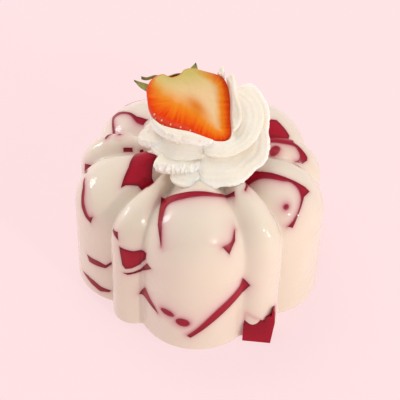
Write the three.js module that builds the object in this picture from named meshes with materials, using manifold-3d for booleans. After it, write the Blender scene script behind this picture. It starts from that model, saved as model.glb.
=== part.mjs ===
// A moulded milk jelly with cubes of red fruit jelly set into it, a piped rosette of whipped cream on
// top and half a strawberry leaning in the cream. Millimetres, +Z up, the origin on the flat base,
// on the axis of the mould. The front of the jelly looks along -Y.
import * as THREE from "three";
import { mergeVertices } from "three/addons/utils/BufferGeometryUtils.js";
import Module from "manifold-3d";

const wasm = await Module();
wasm.setup();

// ---- Driving dimensions ------------------------------------------------------------------------

const GAP = 0.3; // clearance between neighbouring pieces

const MOULD = {
  height: 60.9,
  wideRadius: 50, // crest of a wide lobe
  narrowRadius: 49.2, // crest of a narrow lobe
  grooveRadius: 43.9, // bottom of a groove
  wideHalfAngle: 25.2, // degrees from a wide crest to the groove beside it
  firstCrest: 269.5, // azimuth of the front wide lobe
  softness: 0.9, // rounding in the grooves
  shoulderWidth: 23.2,
  shoulderHeight: 21.6,
  crown: 3, // rise of the top from the shoulder to the axis
  grooveDip: 7.8, // how far the grooves sink below the crests on the shoulder
  lean: 0.1, // share of its height by which the front crest stands higher and the back one lower
  // Each lobe's own size, and its turn in degrees out of the even round, anticlockwise from the front.
  wideShares: [1.02, 1.005, 1.05, 1.03, 0.955],
  wideTurns: [2, -3, -5.5, 3, -1.5],
  narrowShares: [1.035, 1.0, 1.0, 0.975, 0.95],
  narrowTurns: [-2.5, -3.5, 0, 1, -0.5],
};
const LOBES = 5; // of each kind
const COLUMNS = 100; // 3.6 degrees each, so that columns fall on crests and grooves
const WALL_RINGS = 2;
const SHOULDER_RINGS = 8;
const TOP_RINGS = 4;
const DIP_RISE = 3; // how late the grooves' dip sets in up the wall
const DIP_RUN = 1.2; // and how soon it runs out towards the axis

const CUBE_DEPTH = 9; // of a red cube behind its face
const FILM = 1.2; // least thickness of the milk film over a cube's face
const REACH = 16; // how far a cutting prism runs outwards, past the crest of any lobe
const FILM_POINTS = 1.3; // points of a film's smooth edge for each given one
const SPOT_POINTS = 12;
const MITRE = 0.35; // least share of a corner's mitre, so that sharp corners aren't drawn out far

const CREAM = {
  centre: [1.5, -2],
  core: [[0, 52], [15, 52], [17, 58], [15, 64], [12.5, 69], [10, 74], [8, 79], [0, 82]],
};

const BERRY = {
  centre: [-3.6, -2.6, 80.4], // of the cut face
  facing: [-75, 50], // azimuth and elevation that it looks in
  depth: 11.5,
  // The edge of the cut face, in millimetres right and up on it, anticlockwise from the stem.
  outline: [[-5.2, 10.8], [-8.1, 12.3], [-12.2, 11], [-14.6, 8], [-15.2, 3.6], [-15.2, 0.6], [-14.2, -2.6],
    [-11.6, -6], [-7.1, -8.4], [-2.5, -10.2], [1.6, -12.4], [4.6, -14], [7.5, -15.1], [10, -15.4],
    [12.2, -14.4], [13.1, -12.6], [13.9, -6.8], [14.7, -1.7], [15, 3.5], [14.3, 7], [12.1, 9.2], [8.1, 11],
    [3, 13], [0.2, 13], [-1.8, 11.4]],
};

// ---- Finishes ----------------------------------------------------------------------------------

const finish = (color, roughness) => new THREE.MeshStandardMaterial({ color, roughness, metalness: 0 });
const MILK = finish(0xe8d9c6, 0.2);
const RED = finish(0xa81128, 0.15);
const WHIPPED = finish(0xf4ecdf, 0.7);
const FRUIT = finish(0xd8401c, 0.4);
const LEAF = finish(0x7d7a3c, 0.6);

// ---- Solids ------------------------------------------------------------------------------------

const radians = THREE.MathUtils.degToRad;

/** A closed geometry as a manifold solid. */
function solid(geometry) {
  const bare = geometry.clone();
  bare.deleteAttribute("normal");
  bare.deleteAttribute("uv");
  const merged = mergeVertices(bare, 1e-3);
  return new wasm.Manifold(
    new wasm.Mesh({
      numProp: 3,
      vertProperties: new Float32Array(merged.attributes.position.array),
      triVerts: new Uint32Array(merged.index.array),
    }),
  );
}

/** A manifold solid as a named mesh, without the crumbs that cutting may leave. */
function named(name, body, material) {
  const largest = body.decompose().sort((a, b) => b.volume() - a.volume())[0];
  const cut = largest.getMesh();
  const position = new Float32Array(cut.numVert * 3);
  for (let i = 0; i < cut.numVert; i++) {
    position.set(cut.vertProperties.subarray(i * cut.numProp, i * cut.numProp + 3), i * 3);
  }
  const geometry = new THREE.BufferGeometry();
  geometry.setAttribute("position", new THREE.BufferAttribute(position, 3));
  geometry.setIndex(new THREE.BufferAttribute(new Uint32Array(cut.triVerts), 1));
  geometry.computeVertexNormals();
  const mesh = new THREE.Mesh(geometry, material);
  mesh.name = name;
  return mesh;
}

/** Moves every vertex of a geometry by a function of its position. */
function reshape(geometry, move) {
  const position = geometry.attributes.position;
  const point = new THREE.Vector3();
  for (let i = 0; i < position.count; i++) {
    move(point.fromBufferAttribute(position, i));
    position.setXYZ(i, point.x, point.y, point.z);
  }
  return geometry;
}

/** A box bent into a strip: place(s, t, w, point) sets a point from its shares along, across, thick. */
function bentBox(along, across, place) {
  const geometry = new THREE.BoxGeometry(1, 1, 1, along, across, 1);
  splitAlike(geometry, along * across);
  return solid(reshape(geometry, (p) => place(p.x + 0.5, p.y + 0.5, p.z + 0.5, p)));
}

/** Gives the far face of a box the same diagonals as its near face. */
function splitAlike(geometry, cells) {
  const index = geometry.index;
  const start = geometry.groups[5].start;
  for (let cell = 0; cell < cells; cell++) {
    const at = start + cell * 6;
    const [a, b, d, , c] = [0, 1, 2, 3, 4].map((i) => index.getX(at + i));
    [a, b, c, a, c, d].forEach((vertex, i) => index.setX(at + i, vertex));
  }
}

// ---- The mould ---------------------------------------------------------------------------------

/** Centre distance and radius of the arc from groove to groove over a crest. */
function lobeArc(crest, halfAngle) {
  const half = MOULD.grooveRadius * Math.sin(radians(halfAngle));
  const sagitta = crest - MOULD.grooveRadius * Math.cos(radians(halfAngle));
  const radius = (half * half + sagitta * sagitta) / (2 * sagitta);
  return { centre: crest - radius, radius };
}

const WIDE_ARC = lobeArc(MOULD.wideRadius, MOULD.wideHalfAngle);
const NARROW_ARC = lobeArc(MOULD.narrowRadius, 180 / LOBES - MOULD.wideHalfAngle);

/** Distance from the axis to one lobe's arc in a direction. */
function arcReach(arc, azimuth) {
  const inside = arc.radius ** 2 - (arc.centre * Math.sin(azimuth)) ** 2;
  return inside > 0 && Math.cos(azimuth) > 0 ? arc.centre * Math.cos(azimuth) + Math.sqrt(inside) : 0;
}

/** Distance from the axis to the fluted wall, at an azimuth in radians. */
function wallRadius(azimuth) {
  const reaches = [];
  for (let k = 0; k < LOBES; k++) {
    const crest = MOULD.firstCrest + (360 / LOBES) * k;
    const wide = azimuth - radians(crest + MOULD.wideTurns[k]);
    const narrow = azimuth - radians(crest + 180 / LOBES + MOULD.narrowTurns[k]);
    reaches.push(arcReach(WIDE_ARC, wide) * MOULD.wideShares[k]);
    reaches.push(arcReach(NARROW_ARC, narrow) * MOULD.narrowShares[k]);
  }
  const far = Math.max(...reaches);
  const blend = reaches.reduce((sum, reach) => sum + Math.exp((reach - far) / MOULD.softness), 0);
  return far + MOULD.softness * Math.log(blend);
}

/** Rings of the plain profile, as [share of the wall's radius, height]. */
function profileRings() {
  const { height, wideRadius, shoulderWidth, shoulderHeight, crown } = MOULD;
  const wall = height - shoulderHeight - crown;
  const flat = 1 - shoulderWidth / wideRadius;
  const rings = [];
  for (let i = 0; i < WALL_RINGS; i++) rings.push([1, (wall * i) / WALL_RINGS]);
  for (let i = 0; i < SHOULDER_RINGS; i++) {
    const turn = ((Math.PI / 2) * i) / SHOULDER_RINGS;
    rings.push([flat + (1 - flat) * Math.cos(turn), wall + shoulderHeight * Math.sin(turn)]);
  }
  for (let i = 0; i <= TOP_RINGS; i++) {
    const run = i / TOP_RINGS;
    rings.push([flat * (1 - run), wall + shoulderHeight + crown * Math.sin((run * Math.PI) / 2)]);
  }
  return rings;
}

/** The whole moulded form, before anything is cut from it. */
function mouldForm() {
  const { wideRadius, shoulderWidth, height, grooveRadius, grooveDip, lean } = MOULD;
  const points = [new THREE.Vector2(0, 0)];
  for (const [share, z] of profileRings()) points.push(new THREE.Vector2(share * wideRadius, z));
  const lathe = new THREE.LatheGeometry(points, COLUMNS, radians(MOULD.firstCrest + 90));
  lathe.rotateX(Math.PI / 2);
  const flat = 1 - shoulderWidth / wideRadius;
  return reshape(lathe, (p) => {
    const share = Math.hypot(p.x, p.y) / wideRadius;
    const azimuth = Math.atan2(p.y, p.x);
    const radius = wallRadius(azimuth);
    const depth = (wideRadius - radius) / (wideRadius - grooveRadius);
    const fade = (p.z / height) ** DIP_RISE * Math.min(share / flat, 1) ** DIP_RUN;
    p.x = radius * share * Math.cos(azimuth);
    p.y = radius * share * Math.sin(azimuth);
    p.z = (p.z - grooveDip * depth * fade) * (1 - (lean * p.y) / wideRadius);
  });
}

// ---- Red cubes ---------------------------------------------------------------------------------

// Each cube lies with a flat face close behind the wall of the mould. centre is the middle of that
// face and facing its azimuth and elevation. outline is the cube's edge as it meets the wall, in
// millimetres right and up on the face. film is the smooth edge of the milk that has run in between
// face and wall, so that red shows only outside it. dots are [right, up, half length, half width,
// turn] of small spots where the cube touches the wall through the film.
const CUBES = [
  {
    name: "red_front_upper",
    centre: [1, -36.5, 53],
    facing: [-95, 62],
    outline: [[-15.2, 10.2], [-8.4, 10], [5, 11.2], [11.4, 13.2], [13.4, -5.2], [11.8, -10.2],
      [9.2, -8.6], [-12.2, -11.8], [-14.8, -1.8]],
    film: [[10.8, 11.4], [5.2, 9.6], [-6, 7.2], [-11.8, 5.6], [-13, 0.2], [-12.6, -8.4], [-12.2, -13.4],
      [-1.6, -15.4], [6.8, -11.8], [9.2, -8.6], [12, -6], [12.8, -1.6], [14.4, 4.4], [13.8, 9.4]],
    lowest: -1.2,
  },
  {
    name: "red_front_lower",
    centre: [-1, -45, 21],
    facing: [-94, 11],
    outline: [[-18, 2], [-20.2, -2.6], [-17.4, -3], [-13, -6], [-5, -11.4], [0.4, -14.6], [4.4, -10.6],
      [19.2, 5.4], [21.2, 8.8], [18.2, 12.4], [2.2, 14.4]],
    film: [[-16, -0.4], [-12.8, -5.2], [-11.4, -9.8], [-6.6, -13.2], [-2, -14.6], [-0.2, -12.6],
      [3, -8.8], [9.4, -0.2], [15.8, 6.8], [17.6, 9.6], [17.8, 13.8], [11.2, 17.4], [2.8, 18.4],
      [-9.6, 14], [-17.6, 3.6]],
    dots: [[-8.6, -3.5, 2.7, 1.5, -15], [-2.7, -6.7, 2.7, 2.1, -5]],
    lowest: -2.6,
  },
  {
    name: "red_foot",
    centre: [24.5, -44.6, 6.5],
    facing: [-95, 11],
    outline: [[-5, 7.4], [2, 3.2], [2.6, 5.6], [4.6, 6], [5, 9.4], [5.6, 8.4], [6, 3.2], [4.8, -7.4],
      [-5.8, -7.4], [-5.8, 1]],
    proud: true,
  },
  {
    name: "red_right_upper",
    centre: [30.5, -21.5, 54.5],
    facing: [-40, 58],
    outline: [[-2, 14.2], [0.2, 12.2], [2.8, 8.4], [5.8, 3], [9.6, -3.4], [10.4, -5.8], [6.4, -6],
      [2.2, -8.8], [-2.8, -12.2], [-4, -11], [-15.4, -1.2], [-13.2, 9.6]],
    film: [[-11.8, 9.4], [-4.2, 10], [-1.2, 9], [3.2, 3.4], [5, 1.6], [6, -2], [4.8, -5.6], [0.6, -9],
      [-4, -10.6], [-14.2, -9], [-18.2, -0.8], [-16.4, 7]],
    dots: [[-1.8, -4.7, 1, 1, 0]],
    lowest: -6.4,
  },
  {
    name: "red_left_top_patch",
    centre: [-21.5, -11.5, 55],
    facing: [-174, 74],
    outline: [[-14.7, -0.3], [-14.5, 1], [-7.2, 4], [-4.3, 7.2], [-0.7, 4.8], [2, 3.6], [7.5, 4.8],
      [10, 2.8], [5.2, -1.8], [5.5, -6], [6.2, -7.8], [-1, -3.8], [-8.8, -1.5]],
  },
  {
    name: "red_back_left_upper",
    centre: [-29, 17, 53.5],
    facing: [142, 72],
    outline: [[10, -2], [5, -3.6], [-5.2, -12.6], [-7, -11], [-5.8, -1.6], [-4.8, 2.4], [-5.2, 8],
      [-3.2, 7], [3.6, 11.2], [9.4, 4.8]],
    film: [[10, -1.2], [5.6, -1.6], [-3.6, -9.6], [-5, -7.6], [-4.8, -1.8], [-2.6, 4.2], [-2.8, 10.8],
      [4.6, 15], [10.8, 6.2], [12.8, -0.8]],
    dots: [[6.1, 2.7, 0.8, 0.6, 67]],
    lowest: -4.4,
  },
  {
    name: "red_slit",
    centre: [-27, 4, 51.5],
    facing: [174, 79],
    outline: [[-1.8, -0.4], [1.8, -0.4], [1.8, 0.4], [-1.8, 0.4]],
    turn: 88,
  },
  {
    name: "red_left_edge",
    centre: [-41, -17.5, 44.5],
    facing: [-152, 30],
    outline: [[-8.6, 4.2], [-3.2, 7.4], [4.6, 1.6], [6.2, -3], [5.8, -5.8], [2.8, -5.4], [-0.6, -3.4],
      [-5, 2.2]],
    film: [[-8.8, 5.2], [-3.6, 3], [0.6, -1.4], [4.4, -3.8], [5.4, -3.4], [7, -0.4], [3.4, 5.6],
      [-5.4, 8.6]],
    lowest: -0.8,
  },
  {
    name: "red_left_groove",
    centre: [-43.5, 1, 43.5],
    facing: [-171, 5],
    outline: [[-6.6, -3], [6.2, 4.8], [7.2, 4.6], [-5.8, -6.4]],
  },
  {
    name: "red_left_wedge",
    centre: [-36.5, -26, 20],
    facing: [-130, -19],
    outline: [[-7.2, -0.8], [-1, 0], [2.2, -0.6], [8.2, 5.4], [7.8, 4.2], [2.2, -2.2], [-6, -3.4]],
  },
  {
    name: "red_left_foot",
    centre: [-38.5, -23, 5.5],
    facing: [-130, 7],
    outline: [[-7.8, 0.8], [-3.8, 1.8], [-0.2, 1.6], [3.4, 0.6], [7.6, 0.8], [6.6, -0.6], [2.6, -2.2],
      [-2.4, -1]],
  },
  {
    name: "red_groove_wedge",
    centre: [-29.5, -34, 44],
    facing: [-167, 14],
    outline: [[-3.6, -0.6], [1, 2], [2.6, -0.4], [1.2, -0.4]],
  },
  {
    name: "red_front_left_patch",
    centre: [-22.5, -39, 37],
    facing: [-111, 7],
    outline: [[-5.6, 4], [0, 3.4], [5, 4.4], [4.8, 1.6], [2, -3.4], [-0.6, -5.4], [-3.2, -6.4],
      [-4.4, -4.8]],
  },
  {
    name: "red_front_left_sliver",
    centre: [-21, -40, 31.5],
    facing: [-117, 0],
    outline: [[-5.8, -3.4], [-2, -2], [0.2, -0.6], [3.8, 5.8], [6.2, 5], [0.2, -2], [-4, -3.8]],
  },
  {
    name: "red_back_right_groove",
    centre: [34.5, 9.5, 52],
    facing: [10, 60],
    outline: [[9.4, 9], [11, 6.2], [11.6, 3.6], [8.8, -1], [7.4, -2.8], [-1.2, -0.4], [-4.8, -7.2],
      [-5.8, -7.4], [-7, -5.8], [-7.2, -2.6], [-6.8, 3.2], [-5.4, 9.8]],
    film: [[-3.2, -1], [-3.8, -1.8], [-6, -3.8], [-6.8, -3.2], [-7.2, -2.2], [-17, 8.8], [-14.4, 15.6],
      [-3.8, 12.2], [-3, 3.6]],
    dots: [[-5.1, 6.7, 1.8, 1.2, 83]],
    lowest: -3.4,
  },
  {
    name: "red_back_right_wall",
    centre: [30.5, 42.1, 25],
    facing: [54, 2],
    outline: [[2.3, 13.2], [-13.2, 2.3], [-2.3, -13.2], [13.2, -2.3]],
    film: [[9.4, -7], [8.6, -1], [9.6, 5], [4, 16], [-6, 16], [-9.8, 6], [-8.8, 1], [-9.4, -5],
      [-6, -16], [6, -16]],
    lowest: -3.4,
  },
  {
    name: "red_back_upper",
    centre: [-23.6, 41.7, 43.2],
    facing: [120, 22],
    outline: [[-9.6, -7.2], [-7.2, 9.6], [9.6, 7.2], [7.2, -9.6]],
    film: [[-11, -12], [-7.4, -4], [-5.6, 4], [-3, 7.2], [2, 6.6], [7, 5.2], [12, 2], [12, -12], [0, -14]],
    lowest: -4.4,
  },
  {
    name: "red_back_lower",
    centre: [-28.9, 41.9, 20],
    facing: [124, 9],
    outline: [[-13, -9.6], [-11.4, -11.2], [-2, -4], [9, 2], [11.4, 6], [8.6, 7.4], [-1, 0.4]],
  },
  {
    name: "red_back_groove",
    centre: [13.5, 40.2, 39.1],
    facing: [70, 16],
    outline: [[-4.4, -3.4], [3.8, -4.6], [5.2, 1], [1.2, 4.4], [-3.2, 3.2]],
  },
  {
    name: "red_back_foot",
    centre: [-1, 49, 8.8],
    facing: [91, 5],
    outline: [[-6.4, -1.6], [0.6, -3.4], [6.8, -0.4], [2, 0.8], [-1.2, 3.4]],
  },
];

/** The frame of a cube's face: right and up on the face, and out of the wall. */
function faceFrame({ centre, facing }) {
  const [azimuth, elevation] = facing.map(radians);
  const out = new THREE.Vector3(
    Math.cos(elevation) * Math.cos(azimuth),
    Math.cos(elevation) * Math.sin(azimuth),
    Math.sin(elevation),
  );
  const right = new THREE.Vector3(-Math.sin(azimuth), Math.cos(azimuth), 0);
  const up = new THREE.Vector3().crossVectors(out, right);
  return new THREE.Matrix4().makeBasis(right, up, out).setPosition(...centre);
}

/** A straight-sided outline, grown by an amount along its own mitres. */
function grown(points, amount) {
  const sign = THREE.ShapeUtils.isClockWise(points) ? -1 : 1;
  return points.map((point, i) => {
    const before = points[(i + points.length - 1) % points.length];
    const after = points[(i + 1) % points.length];
    const a = point.clone().sub(before).normalize();
    const b = after.clone().sub(point).normalize();
    const mitre = new THREE.Vector2(a.y + b.y, -(a.x + b.x)).normalize();
    const stretch = Math.max(mitre.dot(new THREE.Vector2(a.y, -a.x)), MITRE);
    return point.clone().addScaledVector(mitre, (sign * amount) / stretch);
  });
}

/** A prism on a cube's face, from one depth to another along the way out. */
function prism(frame, points, from, to) {
  const shape = new THREE.Shape(points);
  const geometry = new THREE.ExtrudeGeometry(shape, { depth: to - from, bevelEnabled: false });
  return solid(geometry.translate(0, 0, from).applyMatrix4(frame));
}

/** A closed smooth curve through a few given points. */
function closedCurve(points) {
  const through = points.map(([x, y]) => new THREE.Vector3(x, y, 0));
  return new THREE.CatmullRomCurve3(through, true, "centripetal");
}

/** Points of the smooth edge of a cube's film. */
function filmEdge(points) {
  const loop = closedCurve(points).getPoints(Math.round(FILM_POINTS * points.length)).slice(1);
  return loop.map((p) => new THREE.Vector2(p.x, p.y));
}

/** Points of a turned ellipse. */
function spot([x, y, length, width, turn], margin) {
  const radii = [length + margin, width + margin];
  const ellipse = new THREE.EllipseCurve(x, y, ...radii, 0, 2 * Math.PI, false, radians(turn));
  return ellipse.getPoints(SPOT_POINTS).slice(1);
}

/** A red cube's form, or with a margin the pocket that it lies in. Only a proud cube ends at its face. */
function cubeForm(cube, margin) {
  const frame = faceFrame(cube);
  if (cube.turn) frame.multiply(new THREE.Matrix4().makeRotationZ(radians(cube.turn)));
  const face = (cube.lowest ?? 0) - FILM;
  const outline = cube.outline.map(([x, y]) => new THREE.Vector2(x, y));
  const front = cube.proud && margin === 0 ? 0 : REACH;
  let form = prism(frame, grown(outline, margin), face - CUBE_DEPTH - margin, front);
  if (cube.film) {
    form = form.subtract(prism(frame, grown(filmEdge(cube.film), -margin), face + margin, REACH + 1));
  }
  for (const dot of cube.dots ?? []) {
    form = form.add(prism(frame, spot(dot, margin), face - GAP, REACH));
  }
  return form;
}

// ---- Whipped cream -----------------------------------------------------------------------------

// Petals of the rosette, from the lowest to the topmost. Each station is [azimuth, root radius, root
// height, edge radius, edge height] about the rosette's axis. thick is the petal's thickness at its
// root and rim the share of it that is left at its edge.
const PETALS = [
  {
    thick: 6,
    rim: 0.3,
    stations: [[-40, 9, 61, 17, 61.5], [-10, 9, 62, 21, 60.5], [30, 9, 63, 22, 58], [70, 9, 62, 21, 57],
      [110, 9, 62, 22, 57], [145, 9, 62.5, 20.5, 58.5], [180, 9, 62, 14, 60.5]],
  },
  {
    thick: 4,
    rim: 0.3,
    stations: [[-124, 10, 61, 22.5, 62], [-116, 10.5, 62.5, 24, 61.6], [-105, 11, 63.5, 25, 61.6],
      [-97, 11, 64, 24.5, 61.6], [-90, 11, 64, 23, 62]],
  },
  {
    thick: 6,
    rim: 0.62,
    stations: [[-141, 10, 65.5, 21, 66.5], [-137, 11, 64.5, 24, 66.5], [-131, 11, 64, 24, 66.3],
      [-116, 11, 64, 20, 66.2], [-98, 11, 64, 17.8, 66.2], [-82, 11, 65, 16, 66.4]],
  },
  {
    thick: 6,
    rim: 0.2,
    stations: [[-96, 12, 67, 19.5, 61.5], [-89, 12.5, 68, 24.5, 60.8], [-74, 12.5, 69, 25, 61.2],
      [-59, 12.5, 69, 26.5, 62], [-43, 12, 69, 25.5, 63.5], [-29, 12, 69.5, 26.5, 65],
      [-16, 11.5, 70, 25.5, 67.5], [-4, 11, 72, 24, 71], [9, 10, 73, 24.5, 75], [22, 8, 75, 23, 79],
      [34, 7, 77, 21.5, 82], [44, 6, 77, 18, 80]],
  },
  {
    thick: 6,
    rim: 0.5,
    stations: [[62, 10, 68, 24, 61], [95, 10, 68.5, 23, 62], [129, 10, 70, 19.5, 65.5],
      [155, 10, 70.5, 18.6, 68], [174, 10, 71, 20, 69], [-173, 10, 71, 23.6, 68.6],
      [-166, 10, 71, 24.8, 67.8], [-158, 10, 71, 22.6, 67.6], [-146, 10, 71.5, 17.5, 69]],
  },
  {
    thick: 5,
    rim: 0.3,
    stations: [[-168, 14, 69, 22, 65.8], [-154, 14, 70.5, 21.4, 65.2], [-146, 14, 71.5, 20.8, 65.2],
      [-134, 13, 72, 19.6, 65.6], [-117, 11.5, 72, 17.5, 66], [-100, 11, 72, 15.4, 66.2],
      [-85, 11, 72.5, 14.7, 66.6], [-74, 10, 72.5, 13, 67.5]],
  },
  {
    thick: 5,
    rim: 0.2,
    stations: [[-88, 10, 71.5, 17, 68.5], [-65, 10, 72.5, 18.5, 68.8], [-46, 10, 73, 19.5, 70],
      [-31, 10, 73.5, 21, 71.5], [-16, 9, 74, 21.5, 73], [1, 8, 75, 22, 75.5], [13, 7.5, 76, 20.5, 78.5],
      [22, 7, 77, 18, 80.5], [28, 6.5, 78, 15.5, 82.5], [34, 6, 78, 12.5, 82]],
  },
  {
    thick: 6,
    rim: 0.65,
    stations: [[85, 6, 76, 14, 76], [130, 7, 78, 17, 76.5], [165, 7, 78, 18.6, 77], [-163, 7, 78, 20, 77],
      [-152, 7, 77.5, 19.5, 76], [-138, 7, 77, 18, 75.3], [-118, 7, 76.5, 15, 74.6],
      [-90, 6, 75.5, 13.8, 73.6], [-66, 6, 75, 13.4, 73.2]],
  },
  {
    thick: 4,
    rim: 0.25,
    stations: [[-43, 5, 73, 16, 76], [-24, 5, 75, 15, 78], [-14, 5, 76, 13.5, 81], [0, 5, 77, 11.5, 84],
      [18, 5, 77, 11, 87], [34, 5, 78, 11.5, 89.2], [47, 5, 78, 9.6, 86], [60, 5, 78, 12, 90.2],
      [71, 5, 76, 8, 83.5]],
  },
];
const STATION_STEPS = 2; // strips of a petal from one station to the next
const PETAL_STRIPS = 3; // from its root to its edge
const BULGE = 0.5; // how far a petal bulges between root and edge
const END_TAPER = 0.3; // share by which a petal runs out at both ends
const CORE_COLUMNS = 20;

/** A value between stations, by a smooth curve through them. */
function between(stations, share) {
  const last = stations.length - 1;
  const at = Math.min(Math.floor(share * last), last - 1);
  const local = share * last - at;
  const pick = (i) => stations[THREE.MathUtils.clamp(i, 0, last)];
  return stations[0].map((_, k) => {
    const [a, b, c, d] = [pick(at - 1)[k], pick(at)[k], pick(at + 1)[k], pick(at + 2)[k]];
    const ease = local * local * (2 * a - 5 * b + 4 * c - d) + local ** 3 * (3 * b - a - 3 * c + d);
    return 0.5 * (2 * b + local * (c - a) + ease);
  });
}

/** Azimuths made to run on past 180 degrees, in the direction that the petal is piped. */
function unrolled(stations) {
  let turn = 0;
  return stations.map(([azimuth, ...rest], i) => {
    if (i && azimuth + turn - stations[i - 1][0] - turn < -180) turn += 360;
    return [azimuth + turn, ...rest];
  });
}

/** One petal, thickest at its root. */
function petal({ stations, thick, rim }) {
  const path = unrolled(stations);
  return bentBox(STATION_STEPS * (path.length - 1), PETAL_STRIPS, (s, t, w, p) => {
    const [azimuth, ...section] = between(path, s);
    const root = new THREE.Vector2(section[0], section[1]);
    const run = new THREE.Vector2(section[2], section[3]).sub(root);
    const normal = new THREE.Vector2(-run.y, run.x).normalize();
    const taper = 1 - END_TAPER * (2 * s - 1) ** 6;
    const body = thick * (rim + (1 - rim) * Math.sqrt(1 - t * t)) * taper;
    root.addScaledVector(run, t * taper);
    root.addScaledVector(normal, BULGE * Math.sin(Math.PI * t) - body * w);
    const angle = radians(azimuth);
    p.x = CREAM.centre[0] + root.x * Math.cos(angle);
    p.y = CREAM.centre[1] + root.x * Math.sin(angle);
    p.z = root.y;
  });
}

/** The middle of the rosette, which its petals grow out of. */
function creamCore() {
  const points = CREAM.core.map(([radius, z]) => new THREE.Vector2(radius, z));
  const lathe = new THREE.LatheGeometry(points, CORE_COLUMNS).rotateX(Math.PI / 2);
  return solid(lathe.translate(...CREAM.centre, 0));
}

// ---- Strawberry --------------------------------------------------------------------------------

const BERRY_COLUMNS = 32;
const BERRY_RINGS = 6;

// Powers that shape its half profile; below 1 each makes the fruit fuller than a half ball.
const BERRY_SHOULDER = 0.8;
const BERRY_BELLY = 0.9;

/** The half strawberry behind its cut face. margin widens it for the hollow that it lies in. */
function berryHalf(margin) {
  const points = [];
  for (let i = 0; i <= BERRY_RINGS; i++) {
    const turn = (Math.PI / 2) * (i / BERRY_RINGS);
    points.push(new THREE.Vector2(Math.sin(turn) ** BERRY_SHOULDER, -(Math.cos(turn) ** BERRY_BELLY)));
  }
  points.push(new THREE.Vector2(0, 0));
  const edge = closedCurve(BERRY.outline);
  const dome = new THREE.LatheGeometry(points, BERRY_COLUMNS).rotateX(Math.PI / 2);
  reshape(dome, (p) => {
    const share = Math.hypot(p.x, p.y);
    const rim = edge.getPoint((Math.atan2(p.y, p.x) / (2 * Math.PI) + 1) % 1);
    rim.multiplyScalar(1 + margin / rim.length());
    p.set(rim.x * share, rim.y * share, p.z * (BERRY.depth + 2 * margin) + margin);
  });
  return solid(dome.applyMatrix4(faceFrame(BERRY)));
}

/** The hollow in the cream: the berry with a little room, and all that lies in front of its cut face. */
function berryHollow() {
  const rim = closedCurve(BERRY.outline).getPoints(BERRY_COLUMNS).slice(1);
  const front = grown(rim.map((p) => new THREE.Vector2(p.x, p.y)), GAP);
  return berryHalf(GAP).add(prism(faceFrame(BERRY), front, -GAP, BERRY.depth));
}

// Leaves of the calyx. from and to are the ends of each, right and up on the cut face; behind is how
// far behind the face it lies, and tilt how far its blade is turned out of the face.
const LEAVES = [
  { name: "leaf_left", from: [-12.6, 6.4], to: [-18.6, 11.6], behind: 2.2, width: 2.8, tilt: 10 },
  { name: "leaf_far_left", from: [-8.5, 11.4], to: [-15.4, 12.4], behind: 4.4, width: 1.4, tilt: 84 },
  { name: "leaf_middle", from: [-9.5, 10.8], to: [1, 12.2], behind: 3.2, width: 4.4, tilt: 60 },
  { name: "leaf_top", from: [3.4, 11], to: [5.2, 15], behind: 2.2, width: 2.8, tilt: -15 },
];
const LEAF_THICKNESS = 0.7;
const LEAF_COLUMNS = 6;
const LEAF_STRIPS = 3;
const LEAF_BROADEST = 0.3; // the larger, the nearer to its start a leaf is broadest
const LEAF_TIP = 0.1; // least share of a leaf's width that is left at its point
const LEAF_WAVE = 0.4; // how far a leaf sways along its length
const LEAF_CUP = 0.5; // how far its edges curl up

/** A thin wavy leaf, pointed at its far end. */
function leaf({ from, to, behind, width, tilt }) {
  const start = new THREE.Vector3(...from, -behind);
  const run = new THREE.Vector3(...to, -behind).sub(start);
  const axis = run.clone().normalize();
  const side = new THREE.Vector3(-axis.y, axis.x, 0).applyAxisAngle(axis, radians(tilt));
  const normal = new THREE.Vector3().crossVectors(axis, side);
  const frame = faceFrame(BERRY);
  return bentBox(LEAF_COLUMNS, LEAF_STRIPS, (s, t, w, p) => {
    const swell = Math.sin(Math.PI * (LEAF_BROADEST + (1 - LEAF_BROADEST) * s));
    const half = (width / 2) * Math.max(LEAF_TIP, swell);
    const wave = LEAF_WAVE * Math.sin(2 * Math.PI * s) + LEAF_CUP * (2 * t - 1) ** 2;
    p.copy(start).addScaledVector(run, s).addScaledVector(side, half * (2 * t - 1));
    p.addScaledVector(normal, wave + LEAF_THICKNESS * w).applyMatrix4(frame);
  });
}

// ---- Assembly ----------------------------------------------------------------------------------

/** A body without all that some tools take out of it. */
function cutAway(body, tools) {
  return tools.reduce((rest, tool) => rest.subtract(tool), body);
}

const jelly = new THREE.Group();
const form = solid(mouldForm());
const above = solid(new THREE.BoxGeometry(300, 300, 200).translate(0, 0, 100)); // all over the base

const pockets = [];
for (const cube of CUBES) {
  const body = cubeForm(cube, 0).intersect(cube.proud ? above : form);
  jelly.add(named(cube.name, cutAway(body, pockets), RED));
  pockets.push(cubeForm(cube, GAP));
}
jelly.add(named("milk_jelly", cutAway(form, pockets), MILK));

const seat = solid(mouldForm().translate(0, 0, GAP));
let cream = creamCore();
for (const one of PETALS) cream = cream.add(petal(one));
cream = cutAway(cream, [seat, berryHollow()]);

jelly.add(named("strawberry_half", berryHalf(0), FRUIT));
for (const one of LEAVES) {
  jelly.add(named(one.name, leaf(one).subtract(berryHalf(GAP)), LEAF));
  cream = cream.subtract(leaf({ ...one, width: one.width + 2 * GAP }));
}
jelly.add(named("whipped_cream", cream, WHIPPED));

export default jelly;
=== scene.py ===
"""A fluted milk jelly with red jelly cubes, a whipped-cream rosette and half a strawberry.

Sizes are in millimetres and turned to metres when a mesh becomes an object. The origin is on the
flat base, on the axis of the mould, +Z is up and the front looks along -Y.
"""

from __future__ import annotations

import logging
import math
from collections.abc import Callable, Sequence
from dataclasses import dataclass, field
from enum import Enum

import bmesh
import bpy
import numpy as np
from mathutils import Matrix, Vector, kdtree, noise
from mathutils.bvhtree import BVHTree

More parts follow.
